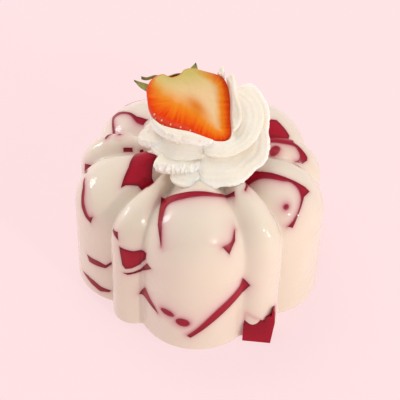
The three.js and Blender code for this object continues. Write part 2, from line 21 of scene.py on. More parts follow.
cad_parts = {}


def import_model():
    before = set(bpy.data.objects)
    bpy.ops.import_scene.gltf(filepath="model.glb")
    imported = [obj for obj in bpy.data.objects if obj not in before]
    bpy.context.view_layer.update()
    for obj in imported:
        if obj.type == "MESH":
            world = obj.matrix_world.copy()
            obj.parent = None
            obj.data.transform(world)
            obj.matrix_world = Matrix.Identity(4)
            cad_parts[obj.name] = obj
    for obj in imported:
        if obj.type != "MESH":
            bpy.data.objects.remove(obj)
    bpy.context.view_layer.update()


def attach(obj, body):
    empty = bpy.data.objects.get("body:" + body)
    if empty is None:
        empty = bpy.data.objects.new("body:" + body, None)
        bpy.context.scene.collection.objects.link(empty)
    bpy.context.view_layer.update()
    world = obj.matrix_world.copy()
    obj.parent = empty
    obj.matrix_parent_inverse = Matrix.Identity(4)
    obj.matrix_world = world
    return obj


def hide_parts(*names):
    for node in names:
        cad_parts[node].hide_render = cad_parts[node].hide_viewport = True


log = logging.getLogger("jelly")

MM = 0.001
MERGE = 1e-5  # distance within which two corners of a spun form are one
SEED_WAY = Vector((1.0, 1.7, -0.6))  # where a seed shifts a noise to, off its own lattice
Shares = Callable[[np.ndarray], np.ndarray]
Pair = tuple[float, float]
Triple = tuple[float, float, float]
Link = bpy.types.NodeSocket


# ---- Small tools -------------------------------------------------------------------------------


class Join(Enum):
    """What a Boolean does with its tool."""

    ADD = "UNION"
    CUT = "DIFFERENCE"
    KEEP = "INTERSECT"


def linear(code: str) -> tuple[float, float, float, float]:
    """Turn an sRGB hex colour to a linear one.

    Args:
        code: Six hex digits, such as "E8D9C6".

    Returns:
        Red, green, blue and an alpha of 1.
    """
    parts = [int(code[i : i + 2], 16) / 255 for i in (0, 2, 4)]
    red, green, blue = (c / 12.92 if c <= 0.04045 else ((c + 0.055) / 1.055) ** 2.4 for c in parts)
    return (red, green, blue, 1.0)


def reshape(bm: bmesh.types.BMesh, move: Shares) -> None:
    """Move every vertex of a mesh by one function of all their places.

    Args:
        bm: The mesh to change.
        move: Takes an array of places, one row each, and returns the new ones.
    """
    places = np.array([v.co for v in bm.verts])
    for vertex, place in zip(bm.verts, move(places)):
        vertex.co = place


def piece(bm: bmesh.types.BMesh, name: str, scale: float = MM) -> bpy.types.Object:
    """Turn a mesh in millimetres to a smooth object in metres at the origin.

    Args:
        bm: The mesh, which is freed.
        name: The object's name.
        scale: Metres in one unit of the mesh.

    Returns:
        The new object, linked to the scene.
    """
    bmesh.ops.scale(bm, vec=(scale,) * 3, verts=bm.verts)
    bmesh.ops.recalc_face_normals(bm, faces=bm.faces)
    mesh = bpy.data.meshes.new(name)
    bm.to_mesh(mesh)
    bm.free()
    mesh.shade_smooth()
    made = bpy.data.objects.new(name, mesh)
    bpy.context.scene.collection.objects.link(made)
    return made


def spun(profile: Sequence[Pair], steps: int) -> bmesh.types.BMesh:
    """Spin a half outline a full turn round the vertical axis to a closed form.

    Args:
        profile: Radius and height of its points, which starts and ends on the axis.
        steps: Divisions of the turn.

    Returns:
        The form's mesh.
    """
    bm = bmesh.new()
    path = [bm.verts.new((radius, 0, z)) for radius, z in profile]
    edges = [bm.edges.new(pair) for pair in zip(path, path[1:])]
    full = {"angle": 2 * math.pi, "steps": steps, "use_merge": True}
    bmesh.ops.spin(bm, geom=path + edges, axis=(0, 0, 1), cent=(0, 0, 0), **full)
    bmesh.ops.remove_doubles(bm, verts=bm.verts, dist=MERGE)
    bmesh.ops.recalc_face_normals(bm, faces=bm.faces)
    return bm


def thicken(bm: bmesh.types.BMesh, height: float) -> None:
    """Turn a flat sheet to a solid.

    Args:
        bm: The sheet.
        height: How far its copy is raised.
    """
    copied = bmesh.ops.extrude_face_region(bm, geom=list(bm.faces), use_keep_orig=True)
    raised = [v for v in copied["geom"] if isinstance(v, bmesh.types.BMVert)]
    bmesh.ops.translate(bm, vec=(0, 0, height), verts=raised)


def slab(columns: int, rows: int) -> bmesh.types.BMesh:
    """Make a slab whose coordinates are shares of 0 to 1 along, across and through it.

    Args:
        columns: Divisions along it.
        rows: Divisions across it.

    Returns:
        The slab's mesh.
    """
    bm = bmesh.new()
    bmesh.ops.create_grid(bm, x_segments=columns, y_segments=rows, size=0.5)
    bmesh.ops.translate(bm, vec=(0.5, 0.5, 0), verts=bm.verts)
    thicken(bm, 1)
    return bm


def prism(points: np.ndarray, low: float, high: float, frame: Matrix) -> bpy.types.Object:
    """Extrude an outline on a face.

    Args:
        points: The outline right and up on the face, one row each.
        low: Where the prism starts along the way out.
        high: Where it ends.
        frame: The face's frame.

    Returns:
        The prism as a solid.
    """
    bm = bmesh.new()
    bm.faces.new([bm.verts.new((x, y, low)) for x, y in points])
    thicken(bm, high - low)
    bmesh.ops.transform(bm, matrix=frame, verts=bm.verts)
    bmesh.ops.recalc_face_normals(bm, faces=bm.faces)
    bmesh.ops.triangulate(bm, faces=bm.faces)
    return piece(bm, "prism")


def settle(made: bpy.types.Object) -> None:
    """Replace an object's mesh by what its modifiers make of it, and drop them."""
    bpy.context.view_layer.update()
    graph = bpy.context.evaluated_depsgraph_get()
    mesh = bpy.data.meshes.new_from_object(made.evaluated_get(graph))
    made.modifiers.clear()
    mesh.materials.clear()
    mesh.polygons.foreach_set("material_index", np.zeros(len(mesh.polygons), dtype=np.int32))
    old = made.data
    made.data = mesh
    mesh.name = made.name
    bpy.data.meshes.remove(old)


def combine(
    made: bpy.types.Object, tool: bpy.types.Object, how: Join, keep_tool: bool = False
) -> None:
    """Join, cut or crop a solid by another.

    Args:
        made: The solid that changes.
        tool: The other solid.
        how: What to do with it.
        keep_tool: Whether the tool is needed again.
    """
    boolean = made.modifiers.new("combine", "BOOLEAN")
    boolean.solver = "MANIFOLD"
    boolean.operation = how.value
    boolean.object = tool
    settle(made)
    if not keep_tool:
        discard(tool)


def discard(made: bpy.types.Object) -> None:
    """Remove a helper object and its mesh."""
    mesh = made.data
    bpy.data.objects.remove(made)
    bpy.data.meshes.remove(mesh)


def twin(made: bpy.types.Object, name: str, swell: float = 0.0, lift: float = 0.0) -> bpy.types.Object:
    """Copy a solid, grown and raised a little.

    Args:
        made: The solid to copy.
        name: The copy's name.
        swell: How far the copy's surface lies outside, in millimetres.
        lift: How far the copy is raised, in millimetres.

    Returns:
        The copy, without a finish.
    """
    copy = bpy.data.objects.new(name, made.data.copy())
    copy.data.materials.clear()
    bpy.context.scene.collection.objects.link(copy)
    normals = np.array([v.normal for v in copy.data.vertices])
    place_all(copy, places_of(copy) + normals * swell + np.array((0.0, 0.0, lift)))
    return copy


def places_of(made: bpy.types.Object) -> np.ndarray:
    """Give the places of an object's vertices in millimetres, one row each."""
    flat = np.empty(len(made.data.vertices) * 3, dtype=np.float32)
    made.data.vertices.foreach_get("co", flat)
    return flat.reshape(-1, 3).astype(float) / MM


def place_all(made: bpy.types.Object, places: np.ndarray) -> None:
    """Set the places of an object's vertices from millimetres."""
    made.data.vertices.foreach_set("co", (places * MM).astype(np.float32).ravel())
    made.data.update()


def paint(made: bpy.types.Object, name: str, values: np.ndarray) -> None:
    """Store one number for each vertex, for a material to read.

    Args:
        made: The object.
        name: The attribute's name.
        values: One number for each vertex.
    """
    layer = made.data.attributes.new(name, "FLOAT", "POINT")
    layer.data.foreach_set("value", values.astype(np.float32))


def ripple(places: np.ndarray, wavelength: float, seed: float = 0.0) -> np.ndarray:
    """Give smooth noise between about -1 and 1.

    Args:
        places: Points in millimetres, one row each.
        wavelength: Rough size of one lump, in millimetres.
        seed: Offset that makes another pattern.

    Returns:
        One number for each point.
    """
    shift = seed * SEED_WAY
    return np.array([noise.noise(Vector(p) / wavelength + shift) for p in places])


def rough(places: np.ndarray, waves: Sequence[Triple]) -> np.ndarray:
    """Add up noise of several sizes.

    Args:
        places: Points in millimetres, one row each.
        waves: Height, wavelength and seed of each.

    Returns:
        One number for each point.
    """
    return sum(height * ripple(places, wavelength, seed) for height, wavelength, seed in waves)


def bell(distance: np.ndarray, width: float, power: int = 2) -> np.ndarray:
    """Fade from 1 at a distance of 0 to nothing past a width.

    Args:
        distance: How far each point lies off the middle.
        width: Where the fade is steepest, about.
        power: How flat the top is.

    Returns:
        A share for each point.
    """
    return np.exp(-((distance / width) ** power))


def nearest(samples: np.ndarray, places: np.ndarray) -> tuple[np.ndarray, np.ndarray]:
    """Find the nearest sample to each place.

    Args:
        samples: Points to look among, one row each.
        places: Points to look from.

    Returns:
        For each place, the distance to the nearest sample and that sample's row.
    """
    tree = kdtree.KDTree(len(samples))
    for row, sample in enumerate(samples):
        tree.insert(sample, row)
    tree.balance()
    found = [tree.find(p)[1:] for p in places]
    return np.array([f[1] for f in found]), np.array([f[0] for f in found])


def closed_curve(points: Sequence[Pair], steps: int) -> np.ndarray:
    """Run a smooth closed curve through points (a centripetal Catmull-Rom spline).

    Args:
        points: The points in order.
        steps: Points made from each given one to the next.

    Returns:
        The curve's points, one row each.
    """
    given = np.array(points, dtype=float)
    made = []
    for i in range(len(given)):
        a, b, c, d = (given[(i + k) % len(given)] for k in (-1, 0, 1, 2))
        ta = 0.0
        tb = ta + np.linalg.norm(b - a) ** 0.5
        tc = tb + np.linalg.norm(c - b) ** 0.5
        td = tc + np.linalg.norm(d - c) ** 0.5
        for t in np.linspace(tb, tc, steps, endpoint=False):
            ab = ((tb - t) * a + (t - ta) * b) / (tb - ta)
            bc = ((tc - t) * b + (t - tb) * c) / (tc - tb)
            cd = ((td - t) * c + (t - tc) * d) / (td - tc)
            abc = ((tc - t) * ab + (t - ta) * bc) / (tc - ta)
            bcd = ((td - t) * bc + (t - tb) * cd) / (td - tb)
            made.append(((tc - t) * abc + (t - tb) * bcd) / (tc - tb))
    return np.array(made)


def resample(points: np.ndarray, spacing: float) -> np.ndarray:
    """Put points at even steps along a closed outline.

    Args:
        points: Corners of the outline, one row each.
        spacing: Rough distance between the new points.

    Returns:
        The new points, one row each.
    """
    made = []
    for a, b in zip(points, np.roll(points, -1, axis=0)):
        count = max(1, round(float(np.linalg.norm(b - a)) / spacing))
        made.extend(a + (b - a) * i / count for i in range(count))
    return np.array(made)


def inside(points: np.ndarray, outline: np.ndarray) -> np.ndarray:
    """Tell which points lie inside a closed outline.

    Args:
        points: Points to test, one row each.
        outline: The outline's corners.

    Returns:
        True or false for each point.
    """
    x, y = points[:, 0], points[:, 1]
    odd = np.zeros(len(points), dtype=bool)
    for (ax, ay), (bx, by) in zip(outline, np.roll(outline, -1, axis=0)):
        if ay == by:
            continue
        crosses = (ay > y) != (by > y)
        odd ^= crosses & (x < (bx - ax) * (y - ay) / (by - ay) + ax)
    return odd


def outwards(azimuth: float, elevation: float) -> tuple[Vector, Vector, Vector]:
    """Give the frame of a face that looks in a direction.

    Args:
        azimuth: In degrees, anticlockwise from +X.
        elevation: In degrees above the horizon.

    Returns:
        Right and up on the face, and out of it.
    """
    a, e = math.radians(azimuth), math.radians(elevation)
    out = Vector((math.cos(e) * math.cos(a), math.cos(e) * math.sin(a), math.sin(e)))
    right = Vector((-math.sin(a), math.cos(a), 0))
    return right, out.cross(right), out


def face_frame(centre: Triple, facing: Pair) -> Matrix:
    """Give the frame of a face: right and up on it, out of it, and its middle.

    Args:
        centre: Its middle.
        facing: The azimuth and the elevation that it looks to.

    Returns:
        The matrix that takes points of the face to the object.
    """
    frame = Matrix(outwards(*facing)).transposed().to_4x4()
    frame.translation = Vector(centre)
    return frame


def carry(places: np.ndarray, matrix: Matrix) -> np.ndarray:
    """Move points, one row each, by a matrix."""
    rows = np.array(matrix)
    return places @ rows[:3, :3].T + rows[:3, 3]


# ---- Finishes ----------------------------------------------------------------------------------


def lumps(size: float) -> float:
    """Give the scale of a noise in object coordinates whose lumps are so many millimetres across."""
    return 1 / (size * MM)


def add(
    tree: bpy.types.NodeTree,
    kind: str,
    inputs: dict | None = None,
    out: int | str = 0,
    **settings: object,
) -> Link:
    """Add one node to a tree, with its settings and links.

    Args:
        tree: The tree of a material or of the world.
        kind: The node's type without its "ShaderNode" prefix.
        inputs: Values of its sockets by name or number; another node's socket is linked.
        out: Which of its outputs is wanted.
        **settings: Properties of the node itself; stops are the places and hex colours of a ramp.

    Returns:
        The wanted output.
    """
    node = tree.nodes.new("ShaderNode" + kind)
    stops = settings.pop("stops", ())
    for name, value in settings.items():
        setattr(node, name, value)
    for _ in range(len(stops) - 2):
        node.color_ramp.elements.new(0.5)
    for number, (place, code) in enumerate(stops):
        node.color_ramp.elements[number].position = place
        node.color_ramp.elements[number].color = linear(code)
    for name, value in (inputs or {}).items():
        if isinstance(value, Link):
            tree.links.new(value, node.inputs[name])
        else:
            node.inputs[name].default_value = linear(value) if isinstance(value, str) else value
    return node.outputs[out] if node.outputs else None


class Finish:
    """A material, made once and shared by the pieces that wear it."""

    def material(self) -> bpy.types.Material:
        """Give this finish's material, and make it the first time."""
        name = type(self).__name__
        if name in bpy.data.materials:
            return bpy.data.materials[name]
        made = bpy.data.materials.new(name)
        made.use_nodes = True
        tree = made.node_tree
        tree.nodes.clear()
        add(tree, "OutputMaterial", {"Surface": self.shade(tree)})
        return made

    def shade(self, tree: bpy.types.NodeTree) -> Link:
        """Build the nodes and give the last shader's output."""
        raise NotImplementedError

    def wear(self, made: bpy.types.Object) -> None:
        """Put this finish on a piece as its last material."""
        made.data.materials.append(self.material())


@dataclass(frozen=True)
class MilkJelly(Finish):
    """Milk set with gelatine: dense, slightly translucent ivory.

    The eye sees a soft even body colour with a wet skin, whose fine ripples from the mould break
    every highlight into a cluster of sparks, and pink where red jelly lies close behind it.
    """

    ivory: str = "EADDCD"
    warm: str = "E3D4BE"
    veil: str = "D9A3A8"  # red jelly seen through a few millimetres of milk
    bleed: str = "B8344A"  # juice that has bled into the milk beside a cube
    cloud: float = 22.0  # size of its faint cloudiness, in millimetres
    ripple: float = 2.2  # size of the ripples in its skin
    waver: float = 9.0  # size of the slow unevenness under them

    def shade(self, tree: bpy.types.NodeTree) -> Link:
        """Build the nodes and give the last shader's output."""
        where = add(tree, "TexCoord", out="Object")
        cloud = add(tree, "TexNoise", {"Vector": where, "Scale": lumps(self.cloud), "Detail": 2.0})
        milk = add(tree, "Mix", {0: cloud, 6: self.ivory, 7: self.warm}, out=2, data_type="RGBA")
        for name, red in (("veil", self.veil), ("bleed", self.bleed)):
            share = add(tree, "Attribute", out="Fac", attribute_name=name)
            milk = add(tree, "Mix", {0: share, 6: milk, 7: red}, out=2, data_type="RGBA")
        waver = add(tree, "TexNoise", {"Vector": where, "Scale": lumps(self.waver), "Detail": 1.0})
        ripples = add(tree, "TexNoise", {"Vector": where, "Scale": lumps(self.ripple), "Detail": 1.0})
        slow = add(tree, "Bump", {"Height": waver, "Strength": 0.3, "Distance": 0.5 * MM})
        skin = {"Height": ripples, "Strength": 0.6, "Distance": 0.3 * MM, "Normal": slow}
        surface = {
            "Base Color": milk,
            "Roughness": 0.42,
            "IOR": 1.36,
            "Subsurface Weight": 0.4,
            "Subsurface Radius": (1.0, 0.78, 0.6),
            "Subsurface Scale": 3.0 * MM,
            "Coat Weight": 0.9,
            "Coat Roughness": 0.05,
            "Coat IOR": 1.4,
            "Coat Normal": add(tree, "Bump", skin),
            "Normal": slow,
        }
        return add(tree, "BsdfPrincipled", surface)


@dataclass(frozen=True)
class RedJelly(Finish):
    """Fruit jelly: clear, deep crimson with a wet gloss.

    The eye sees it darkest along its cut edges, where it is looked into sideways, and milky where
    the film over it begins.
    """

    edge: str = "5E0417"
    middle: str = "930B24"
    heart: str = "AA102A"
    milky: str = "C65A6C"
    cloud: float = 6.0  # size of the clouds in it, in millimetres

    def shade(self, tree: bpy.types.NodeTree) -> Link:
        """Build the nodes and give the last shader's output."""
        where = add(tree, "TexCoord", out="Object")
        depth, milky = (
            add(tree, "Attribute", out="Fac", attribute_name=name) for name in ("depth", "milky")
        )
        cloud = add(tree, "TexNoise", {"Vector": where, "Scale": lumps(self.cloud), "Detail": 2.0})
        deep = add(tree, "Math", {0: cloud, 1: 0.3}, operation="MULTIPLY")
        stops = [(0.0, self.edge), (0.35, self.middle), (1.0, self.heart)]
        colour = add(tree, "ValToRGB", {"Fac": depth}, stops=stops)
        for share, over in ((deep, self.edge), (milky, self.milky)):
            colour = add(tree, "Mix", {0: share, 6: colour, 7: over}, out=2, data_type="RGBA")
        surface = {
            "Base Color": colour,
            "Roughness": 0.3,
            "IOR": 1.36,
            "Specular IOR Level": 0.25,
            "Subsurface Weight": 0.1,
            "Subsurface Radius": (1.0, 0.12, 0.1),
            "Subsurface Scale": 1.5 * MM,
            "Coat Weight": 0.12,
            "Coat Roughness": 0.08,
        }
        return add(tree, "BsdfPrincipled", surface)


@dataclass(frozen=True)
class WhippedCream(Finish):
    """Whipped dairy cream: soft, matt and off-white.

    The eye sees fine stripes along each ribbon from the nozzle's teeth, and whiter crumbs along
    the edges where the ribbon tears.
    """

    white: str = "F6F1E7"
    butter: str = "EEE1CD"
    torn: str = "FAF7F0"
    cloud: float = 8.0  # size of its patches, in millimetres
    grain: float = 0.7  # size of its grains
    stripes: float = 11.0  # stripes across a ribbon

    def shade(self, tree: bpy.types.NodeTree) -> Link:
        """Build the nodes and give the last shader's output."""
        where = add(tree, "TexCoord", out="Object")
        crumb, across = (
            add(tree, "Attribute", out="Fac", attribute_name=name) for name in ("crumb", "across")
        )
        cloud = add(tree, "TexNoise", {"Vector": where, "Scale": lumps(self.cloud), "Detail": 2.0})
        colour = add(tree, "Mix", {0: cloud, 6: self.white, 7: self.butter}, out=2, data_type="RGBA")
        colour = add(tree, "Mix", {0: crumb, 6: colour, 7: self.torn}, out=2, data_type="RGBA")
        line = add(tree, "CombineXYZ", {"X": across})
        stripes = add(tree, "TexNoise", {"Vector": line, "Scale": self.stripes, "Detail": 2.0})
        grain = add(tree, "TexNoise", {"Vector": where, "Scale": lumps(self.grain), "Detail": 3.0})
        piped = add(tree, "Bump", {"Height": stripes, "Strength": 0.35, "Distance": 0.6 * MM})
        grainy = {"Height": grain, "Strength": 0.45, "Distance": 0.4 * MM, "Normal": piped}
        surface = {
            "Base Color": colour,
            "Roughness": 0.6,
            "IOR": 1.35,
            "Specular IOR Level": 0.3,
            "Subsurface Weight": 0.3,
            "Subsurface Radius": (1.0, 0.75, 0.45),
            "Subsurface Scale": 1.4 * MM,
            "Normal": add(tree, "Bump", grainy),
        }
        return add(tree, "BsdfPrincipled", surface)


@dataclass(frozen=True)
class BerryFlesh(Finish):
    """Cut strawberry flesh: moist and fibrous.

    The eye sees a pale heart, orange that deepens to red towards the skin in streaks along the
    fibres, an amber patch over the hollow core and an unripe green-yellow shoulder at the stem.
    """

    heart: str = "EAC796"
    pale: str = "ECB273"
    orange: str = "EC8A1C"
    red: str = "EA6204"
    skin: str = "E03A04"
    amber: str = "DC7A10"
    stem: str = "C4B660"
    fibre: float = 1.4  # width of a fibre where it meets the skin, in millimetres
    stretch: float = 0.14  # width of a fibre as a share of its length
    contrast: float = 1.1  # how far a fibre is riper or paler than the flesh round it

    def shade(self, tree: bpy.types.NodeTree) -> Link:
        """Build the nodes and give the last shader's output."""
        ripe, along, inward, amber, stem = (
            add(tree, "Attribute", out="Fac", attribute_name=name)
            for name in ("ripe", "along", "inward", "amber", "stem")
        )
        streak = add(tree, "Math", {0: inward, 1: self.stretch}, operation="MULTIPLY")
        place = add(tree, "CombineXYZ", {"X": along, "Y": streak})
        fibres = add(tree, "TexNoise", {"Vector": place, "Scale": 1 / self.fibre, "Detail": 2.0})
        centred = {0: fibres, 1: self.contrast, 2: -self.contrast / 2}
        swing = add(tree, "Math", centred, operation="MULTIPLY_ADD")
        fade = add(tree, "Math", {0: ripe, 1: 1.5}, operation="POWER")
        swing = add(tree, "Math", {0: swing, 1: fade}, operation="MULTIPLY")
        share = add(tree, "Math", {0: ripe, 1: swing}, operation="ADD", use_clamp=True)
        hues = (self.heart, self.pale, self.orange, self.red, self.skin)
        colour = add(tree, "ValToRGB", {"Fac": share}, stops=list(zip((0.0, 0.2, 0.42, 0.72, 1.0), hues)))
        for share, over in ((amber, self.amber), (stem, self.stem)):
            colour = add(tree, "Mix", {0: share, 6: colour, 7: over}, out=2, data_type="RGBA")
        fine = add(tree, "Bump", {"Height": swing, "Strength": 0.5, "Distance": 0.4 * MM})
        surface = {
            "Base Color": colour,
            "Roughness": 0.5,
            "IOR": 1.35,
            "Specular IOR Level": 0.2,
            "Subsurface Weight": 0.08,
            "Subsurface Radius": (1.0, 0.4, 0.2),
            "Subsurface Scale": 1.0 * MM,
            "Normal": fine,
        }
        return add(tree, "BsdfPrincipled", surface)


@dataclass(frozen=True)
class BerrySkin(Finish):
    """Strawberry skin: glossy red, paler and greener towards the stem."""

    red: str = "EC420C"
    deep: str = "DA2E08"
    stem: str = "D9A868"
    cloud: float = 4.5  # size of its mottling, in millimetres

    def shade(self, tree: bpy.types.NodeTree) -> Link:
        """Build the nodes and give the last shader's output."""
        where = add(tree, "TexCoord", out="Object")
        stem = add(tree, "Attribute", out="Fac", attribute_name="stem")
        cloud = add(tree, "TexNoise", {"Vector": where, "Scale": lumps(self.cloud), "Detail": 2.0})
        colour = add(tree, "Mix", {0: cloud, 6: self.red, 7: self.deep}, out=2, data_type="RGBA")
        colour = add(tree, "Mix", {0: stem, 6: colour, 7: self.stem}, out=2, data_type="RGBA")
        surface = {
            "Base Color": colour,
            "Roughness": 0.3,
            "IOR": 1.4,
            "Subsurface Weight": 0.1,
            "Subsurface Radius": (1.0, 0.25, 0.15),
            "Subsurface Scale": 1.5 * MM,
            "Coat Weight": 0.5,
            "Coat Roughness": 0.08,
        }
        return add(tree, "BsdfPrincipled", surface)


@dataclass(frozen=True)
class BerrySeed(Finish):
    """Strawberry pips: small hard grains, straw-coloured with a dull shine."""

    straw: str = "F4DCA6"
    brown: str = "E0B468"
    cloud: float = 1.4  # size of its mottling, in millimetres

    def shade(self, tree: bpy.types.NodeTree) -> Link:
        """Build the nodes and give the last shader's output."""
        where = add(tree, "TexCoord", out="Object")
        cloud = add(tree, "TexNoise", {"Vector": where, "Scale": lumps(self.cloud)})
        colour = add(tree, "Mix", {0: cloud, 6: self.straw, 7: self.brown}, out=2, data_type="RGBA")
        return add(tree, "BsdfPrincipled", {"Base Color": colour, "Roughness": 0.3, "IOR": 1.45})


@dataclass(frozen=True)
class BerryLeaf(Finish):
    """Calyx leaf: dull olive green, paler along its vein and browned at its tip."""

    olive: str = "7A7A35"
    pale: str = "A5A25A"
    brown: str = "54472A"
    mottle: float = 2.0  # size of its mottling, in millimetres

    def shade(self, tree: bpy.types.NodeTree) -> Link:
        """Build the nodes and give the last shader's output."""
        where = add(tree, "TexCoord", out="Object")
        mottle = add(tree, "TexNoise", {"Vector": where, "Scale": lumps(self.mottle), "Detail": 3.0})
        colour = add(tree, "Mix", {0: mottle, 6: self.olive, 7: self.pale}, out=2, data_type="RGBA")
        for name, over in (("vein", self.pale), ("tip", self.brown)):
            share = add(tree, "Attribute", out="Fac", attribute_name=name)
            colour = add(tree, "Mix", {0: share, 6: colour, 7: over}, out=2, data_type="RGBA")
        ridges = add(tree, "Bump", {"Height": mottle, "Strength": 0.3, "Distance": 0.3 * MM})
        return add(tree, "BsdfPrincipled", {"Base Color": colour, "Roughness": 0.55, "Normal": ridges})


@dataclass(frozen=True)
class PaleFloor(Finish):
    """Plain pale pink studio floor: matt and lit from within, so that it is even everywhere."""

    pink: str = "FFE4E6"
    glow: float = 0.8  # share of the light that it gives itself

    def shade(self, tree: bpy.types.NodeTree) -> Link:
        """Build the nodes and give the last shader's output."""
        matt = add(tree, "BsdfDiffuse", {"Color": self.pink, "Roughness": 1.0})
        glow = add(tree, "Emission", {"Color": self.pink})
        return add(tree, "MixShader", {0: self.glow, 1: matt, 2: glow})


# ---- The mould ---------------------------------------------------------------------------------


@dataclass(frozen=True)
class Mould:
    """The fluted form: broad and narrow lobes in turn around a domed shoulder."""

    height: float = 60.9
    wide_radius: float = 50.0
    narrow_radius: float = 49.2
    groove_radius: float = 43.9
    wide_half_angle: float = 25.2
    first_crest: float = 269.5
    softness: float = 0.9
    shoulder_width: float = 23.2
    shoulder_height: float = 21.6
    crown: float = 3.0
    groove_dip: float = 7.8
    dip_powers: Pair = (3, 1.2)  # how late the dip of a groove sets in up the wall, and off the axis
    lean: float = 0.1  # share of its height by which the back crest stands lower, the front one higher
    # Each lobe's own size, and its turn out of the even round in degrees, from the front one on.
    wide_shares: tuple[float, ...] = (1.02, 1.005, 1.05, 1.03, 0.955)
    wide_turns: tuple[float, ...] = (2, -3, -5.5, 3, -1.5)
    narrow_shares: tuple[float, ...] = (1.035, 1.0, 1.0, 0.975, 0.95)
    narrow_turns: tuple[float, ...] = (-2.5, -3.5, 0, 1, -0.5)
    foot_round: float = 0.9
    foot_steps: int = 3
    shoulder_arc: float = 1.5  # about the length of the shoulder as a multiple of its width
    base_ring: float = 0.5  # where the base has a ring of corners, as a share of its radius
    spacing: float = 0.8  # distance between rings on the wall and the shoulder
    top_spacing: float = 1.2
    columns: int = 440

    @property
    def flat(self) -> float:
        """Share of the radius where the shoulder ends and the top begins."""
        return 1 - self.shoulder_width / self.wide_radius

    @staticmethod
    def reach(crest: float, groove: float, half_angle: float, turned: np.ndarray) -> np.ndarray:
        """Give how far one lobe's arc reaches from the axis.

        Args:
            crest: Radius at the lobe's crest.
            groove: Radius at the grooves beside it.
            half_angle: Degrees from the crest to a groove.
            turned: Azimuths counted from the crest, in radians.

        Returns:
            The radius in each direction, or 0 where the arc isn't met.
        """
        half = groove * math.sin(math.radians(half_angle))
        sagitta = crest - groove * math.cos(math.radians(half_angle))
        radius = (half**2 + sagitta**2) / (2 * sagitta)
        centre = crest - radius
        room = radius**2 - (centre * np.sin(turned)) ** 2
        met = (room > 0) & (np.cos(turned) > 0)
        return np.where(met, centre * np.cos(turned) + np.sqrt(np.maximum(room, 0)), 0)

    def wall_radius(self, azimuth: np.ndarray) -> np.ndarray:
        """Give the radius of the fluted wall.

        Args:
            azimuth: Directions in radians.

        Returns:
            The radius in each direction.
        """
        lobes = len(self.wide_shares)
        reaches = []
        for k in range(lobes):
            crest = self.first_crest + 360 / lobes * k
            turned = azimuth - math.radians(crest + self.wide_turns[k])
            half = self.wide_half_angle
            wide = self.reach(self.wide_radius, self.groove_radius, half, turned)
            turned = azimuth - math.radians(crest + 180 / lobes + self.narrow_turns[k])
            half = 180 / lobes - half
            narrow = self.reach(self.narrow_radius, self.groove_radius, half, turned)
            reaches += [wide * self.wide_shares[k], narrow * self.narrow_shares[k]]
        stack = np.array(reaches)
        far = stack.max(axis=0)
        return far + self.softness * np.log(np.exp((stack - far) / self.softness).sum(axis=0))

    def flute(self, places: np.ndarray) -> np.ndarray:
        """Turn the plain round form to the fluted one.

        Args:
            places: Points of the round form, one row each.

        Returns:
            The fluted form's points.
        """
        share = np.hypot(places[:, 0], places[:, 1]) / self.wide_radius
        azimuth = np.arctan2(places[:, 1], places[:, 0])
        radius = self.wall_radius(azimuth)
        depth = (self.wide_radius - radius) / (self.wide_radius - self.groove_radius)
        up, off = self.dip_powers
        fade = np.clip(places[:, 2] / self.height, 0, 1) ** up * np.minimum(share / self.flat, 1) ** off
        x, y = radius * share * np.cos(azimuth), radius * share * np.sin(azimuth)
        leaning = 1 - self.lean * y / self.wide_radius
        return np.column_stack((x, y, (places[:, 2] - self.groove_dip * depth * fade) * leaning))

    def profile(self) -> list[Pair]:
        """Give the round form's half outline as radius and height, from the base to the top."""
        wall = self.height - self.shoulder_height - self.crown
        foot = self.foot_round
        points = [(0.0, 0.0), (self.wide_radius * self.base_ring, 0.0)]
        for i in range(self.foot_steps + 1):
            turn = math.pi / 2 * i / self.foot_steps
            points.append((self.wide_radius - foot + foot * math.sin(turn), foot - foot * math.cos(turn)))
        steps = round((wall - foot) / self.spacing)
        points += [(self.wide_radius, foot + (wall - foot) * i / steps) for i in range(1, steps)]
        steps = round(self.shoulder_arc * self.shoulder_width / self.spacing)
        for i in range(steps):
            turn = math.pi / 2 * i / steps
            radius = self.wide_radius - self.shoulder_width * (1 - math.cos(turn))
            points.append((radius, wall + self.shoulder_height * math.sin(turn)))
        steps = round(self.flat * self.wide_radius / self.top_spacing)
        for i in range(steps + 1):
            run = i / steps
            rise = self.crown * math.sin(run * math.pi / 2)
            points.append((self.flat * self.wide_radius * (1 - run), wall + self.shoulder_height + rise))
        return points

    def build(self, name: str) -> bpy.types.Object:
        """Spin and flute the whole form.

        Args:
            name: The object's name.

        Returns:
            The form as one closed solid.
        """
        bm = spun(self.profile(), self.columns)
        reshape(bm, self.flute)
        return piece(bm, name)


# ---- Red cubes ---------------------------------------------------------------------------------

BLOCK = 300.0  # side of the block that stands for all below the floor, past every lobe
REACH = 16.0  # how far a cutting prism runs outwards, past the crest of any lobe
OVERLAP = 1.0  # how far one cutting prism runs past another, so that no faces coincide
CUBE_DEPTH = 9.0
CUBE_CREASE = 28.0  # edges that turn by more degrees than this stay sharp
FILM = 1.2
FILM_STEPS = 6  # points of the film's edge from one given point to the next
SPOT_STEPS = 28  # points round a spot
CORNER_SPACING = 2.0  # distance between points along a cube's edge where it is cut
SAMPLE_SPACING = 0.4  # and where it only colours the milk
VEIL_ROOM = (30.0, 9.0)  # how far aside and out from a face the milk in front of it is looked for
INLAY = 0.06  # how far a cube's touching patch stands on the wall, so that both can be seen apart


def underground() -> bpy.types.Object:
    """Give a block that fills everything below the floor, to cut a form flat with."""
    bm = bmesh.new()
    bmesh.ops.create_cube(bm, size=BLOCK, matrix=Matrix.Translation((0, 0, -BLOCK / 2)))
    return piece(bm, "underground")


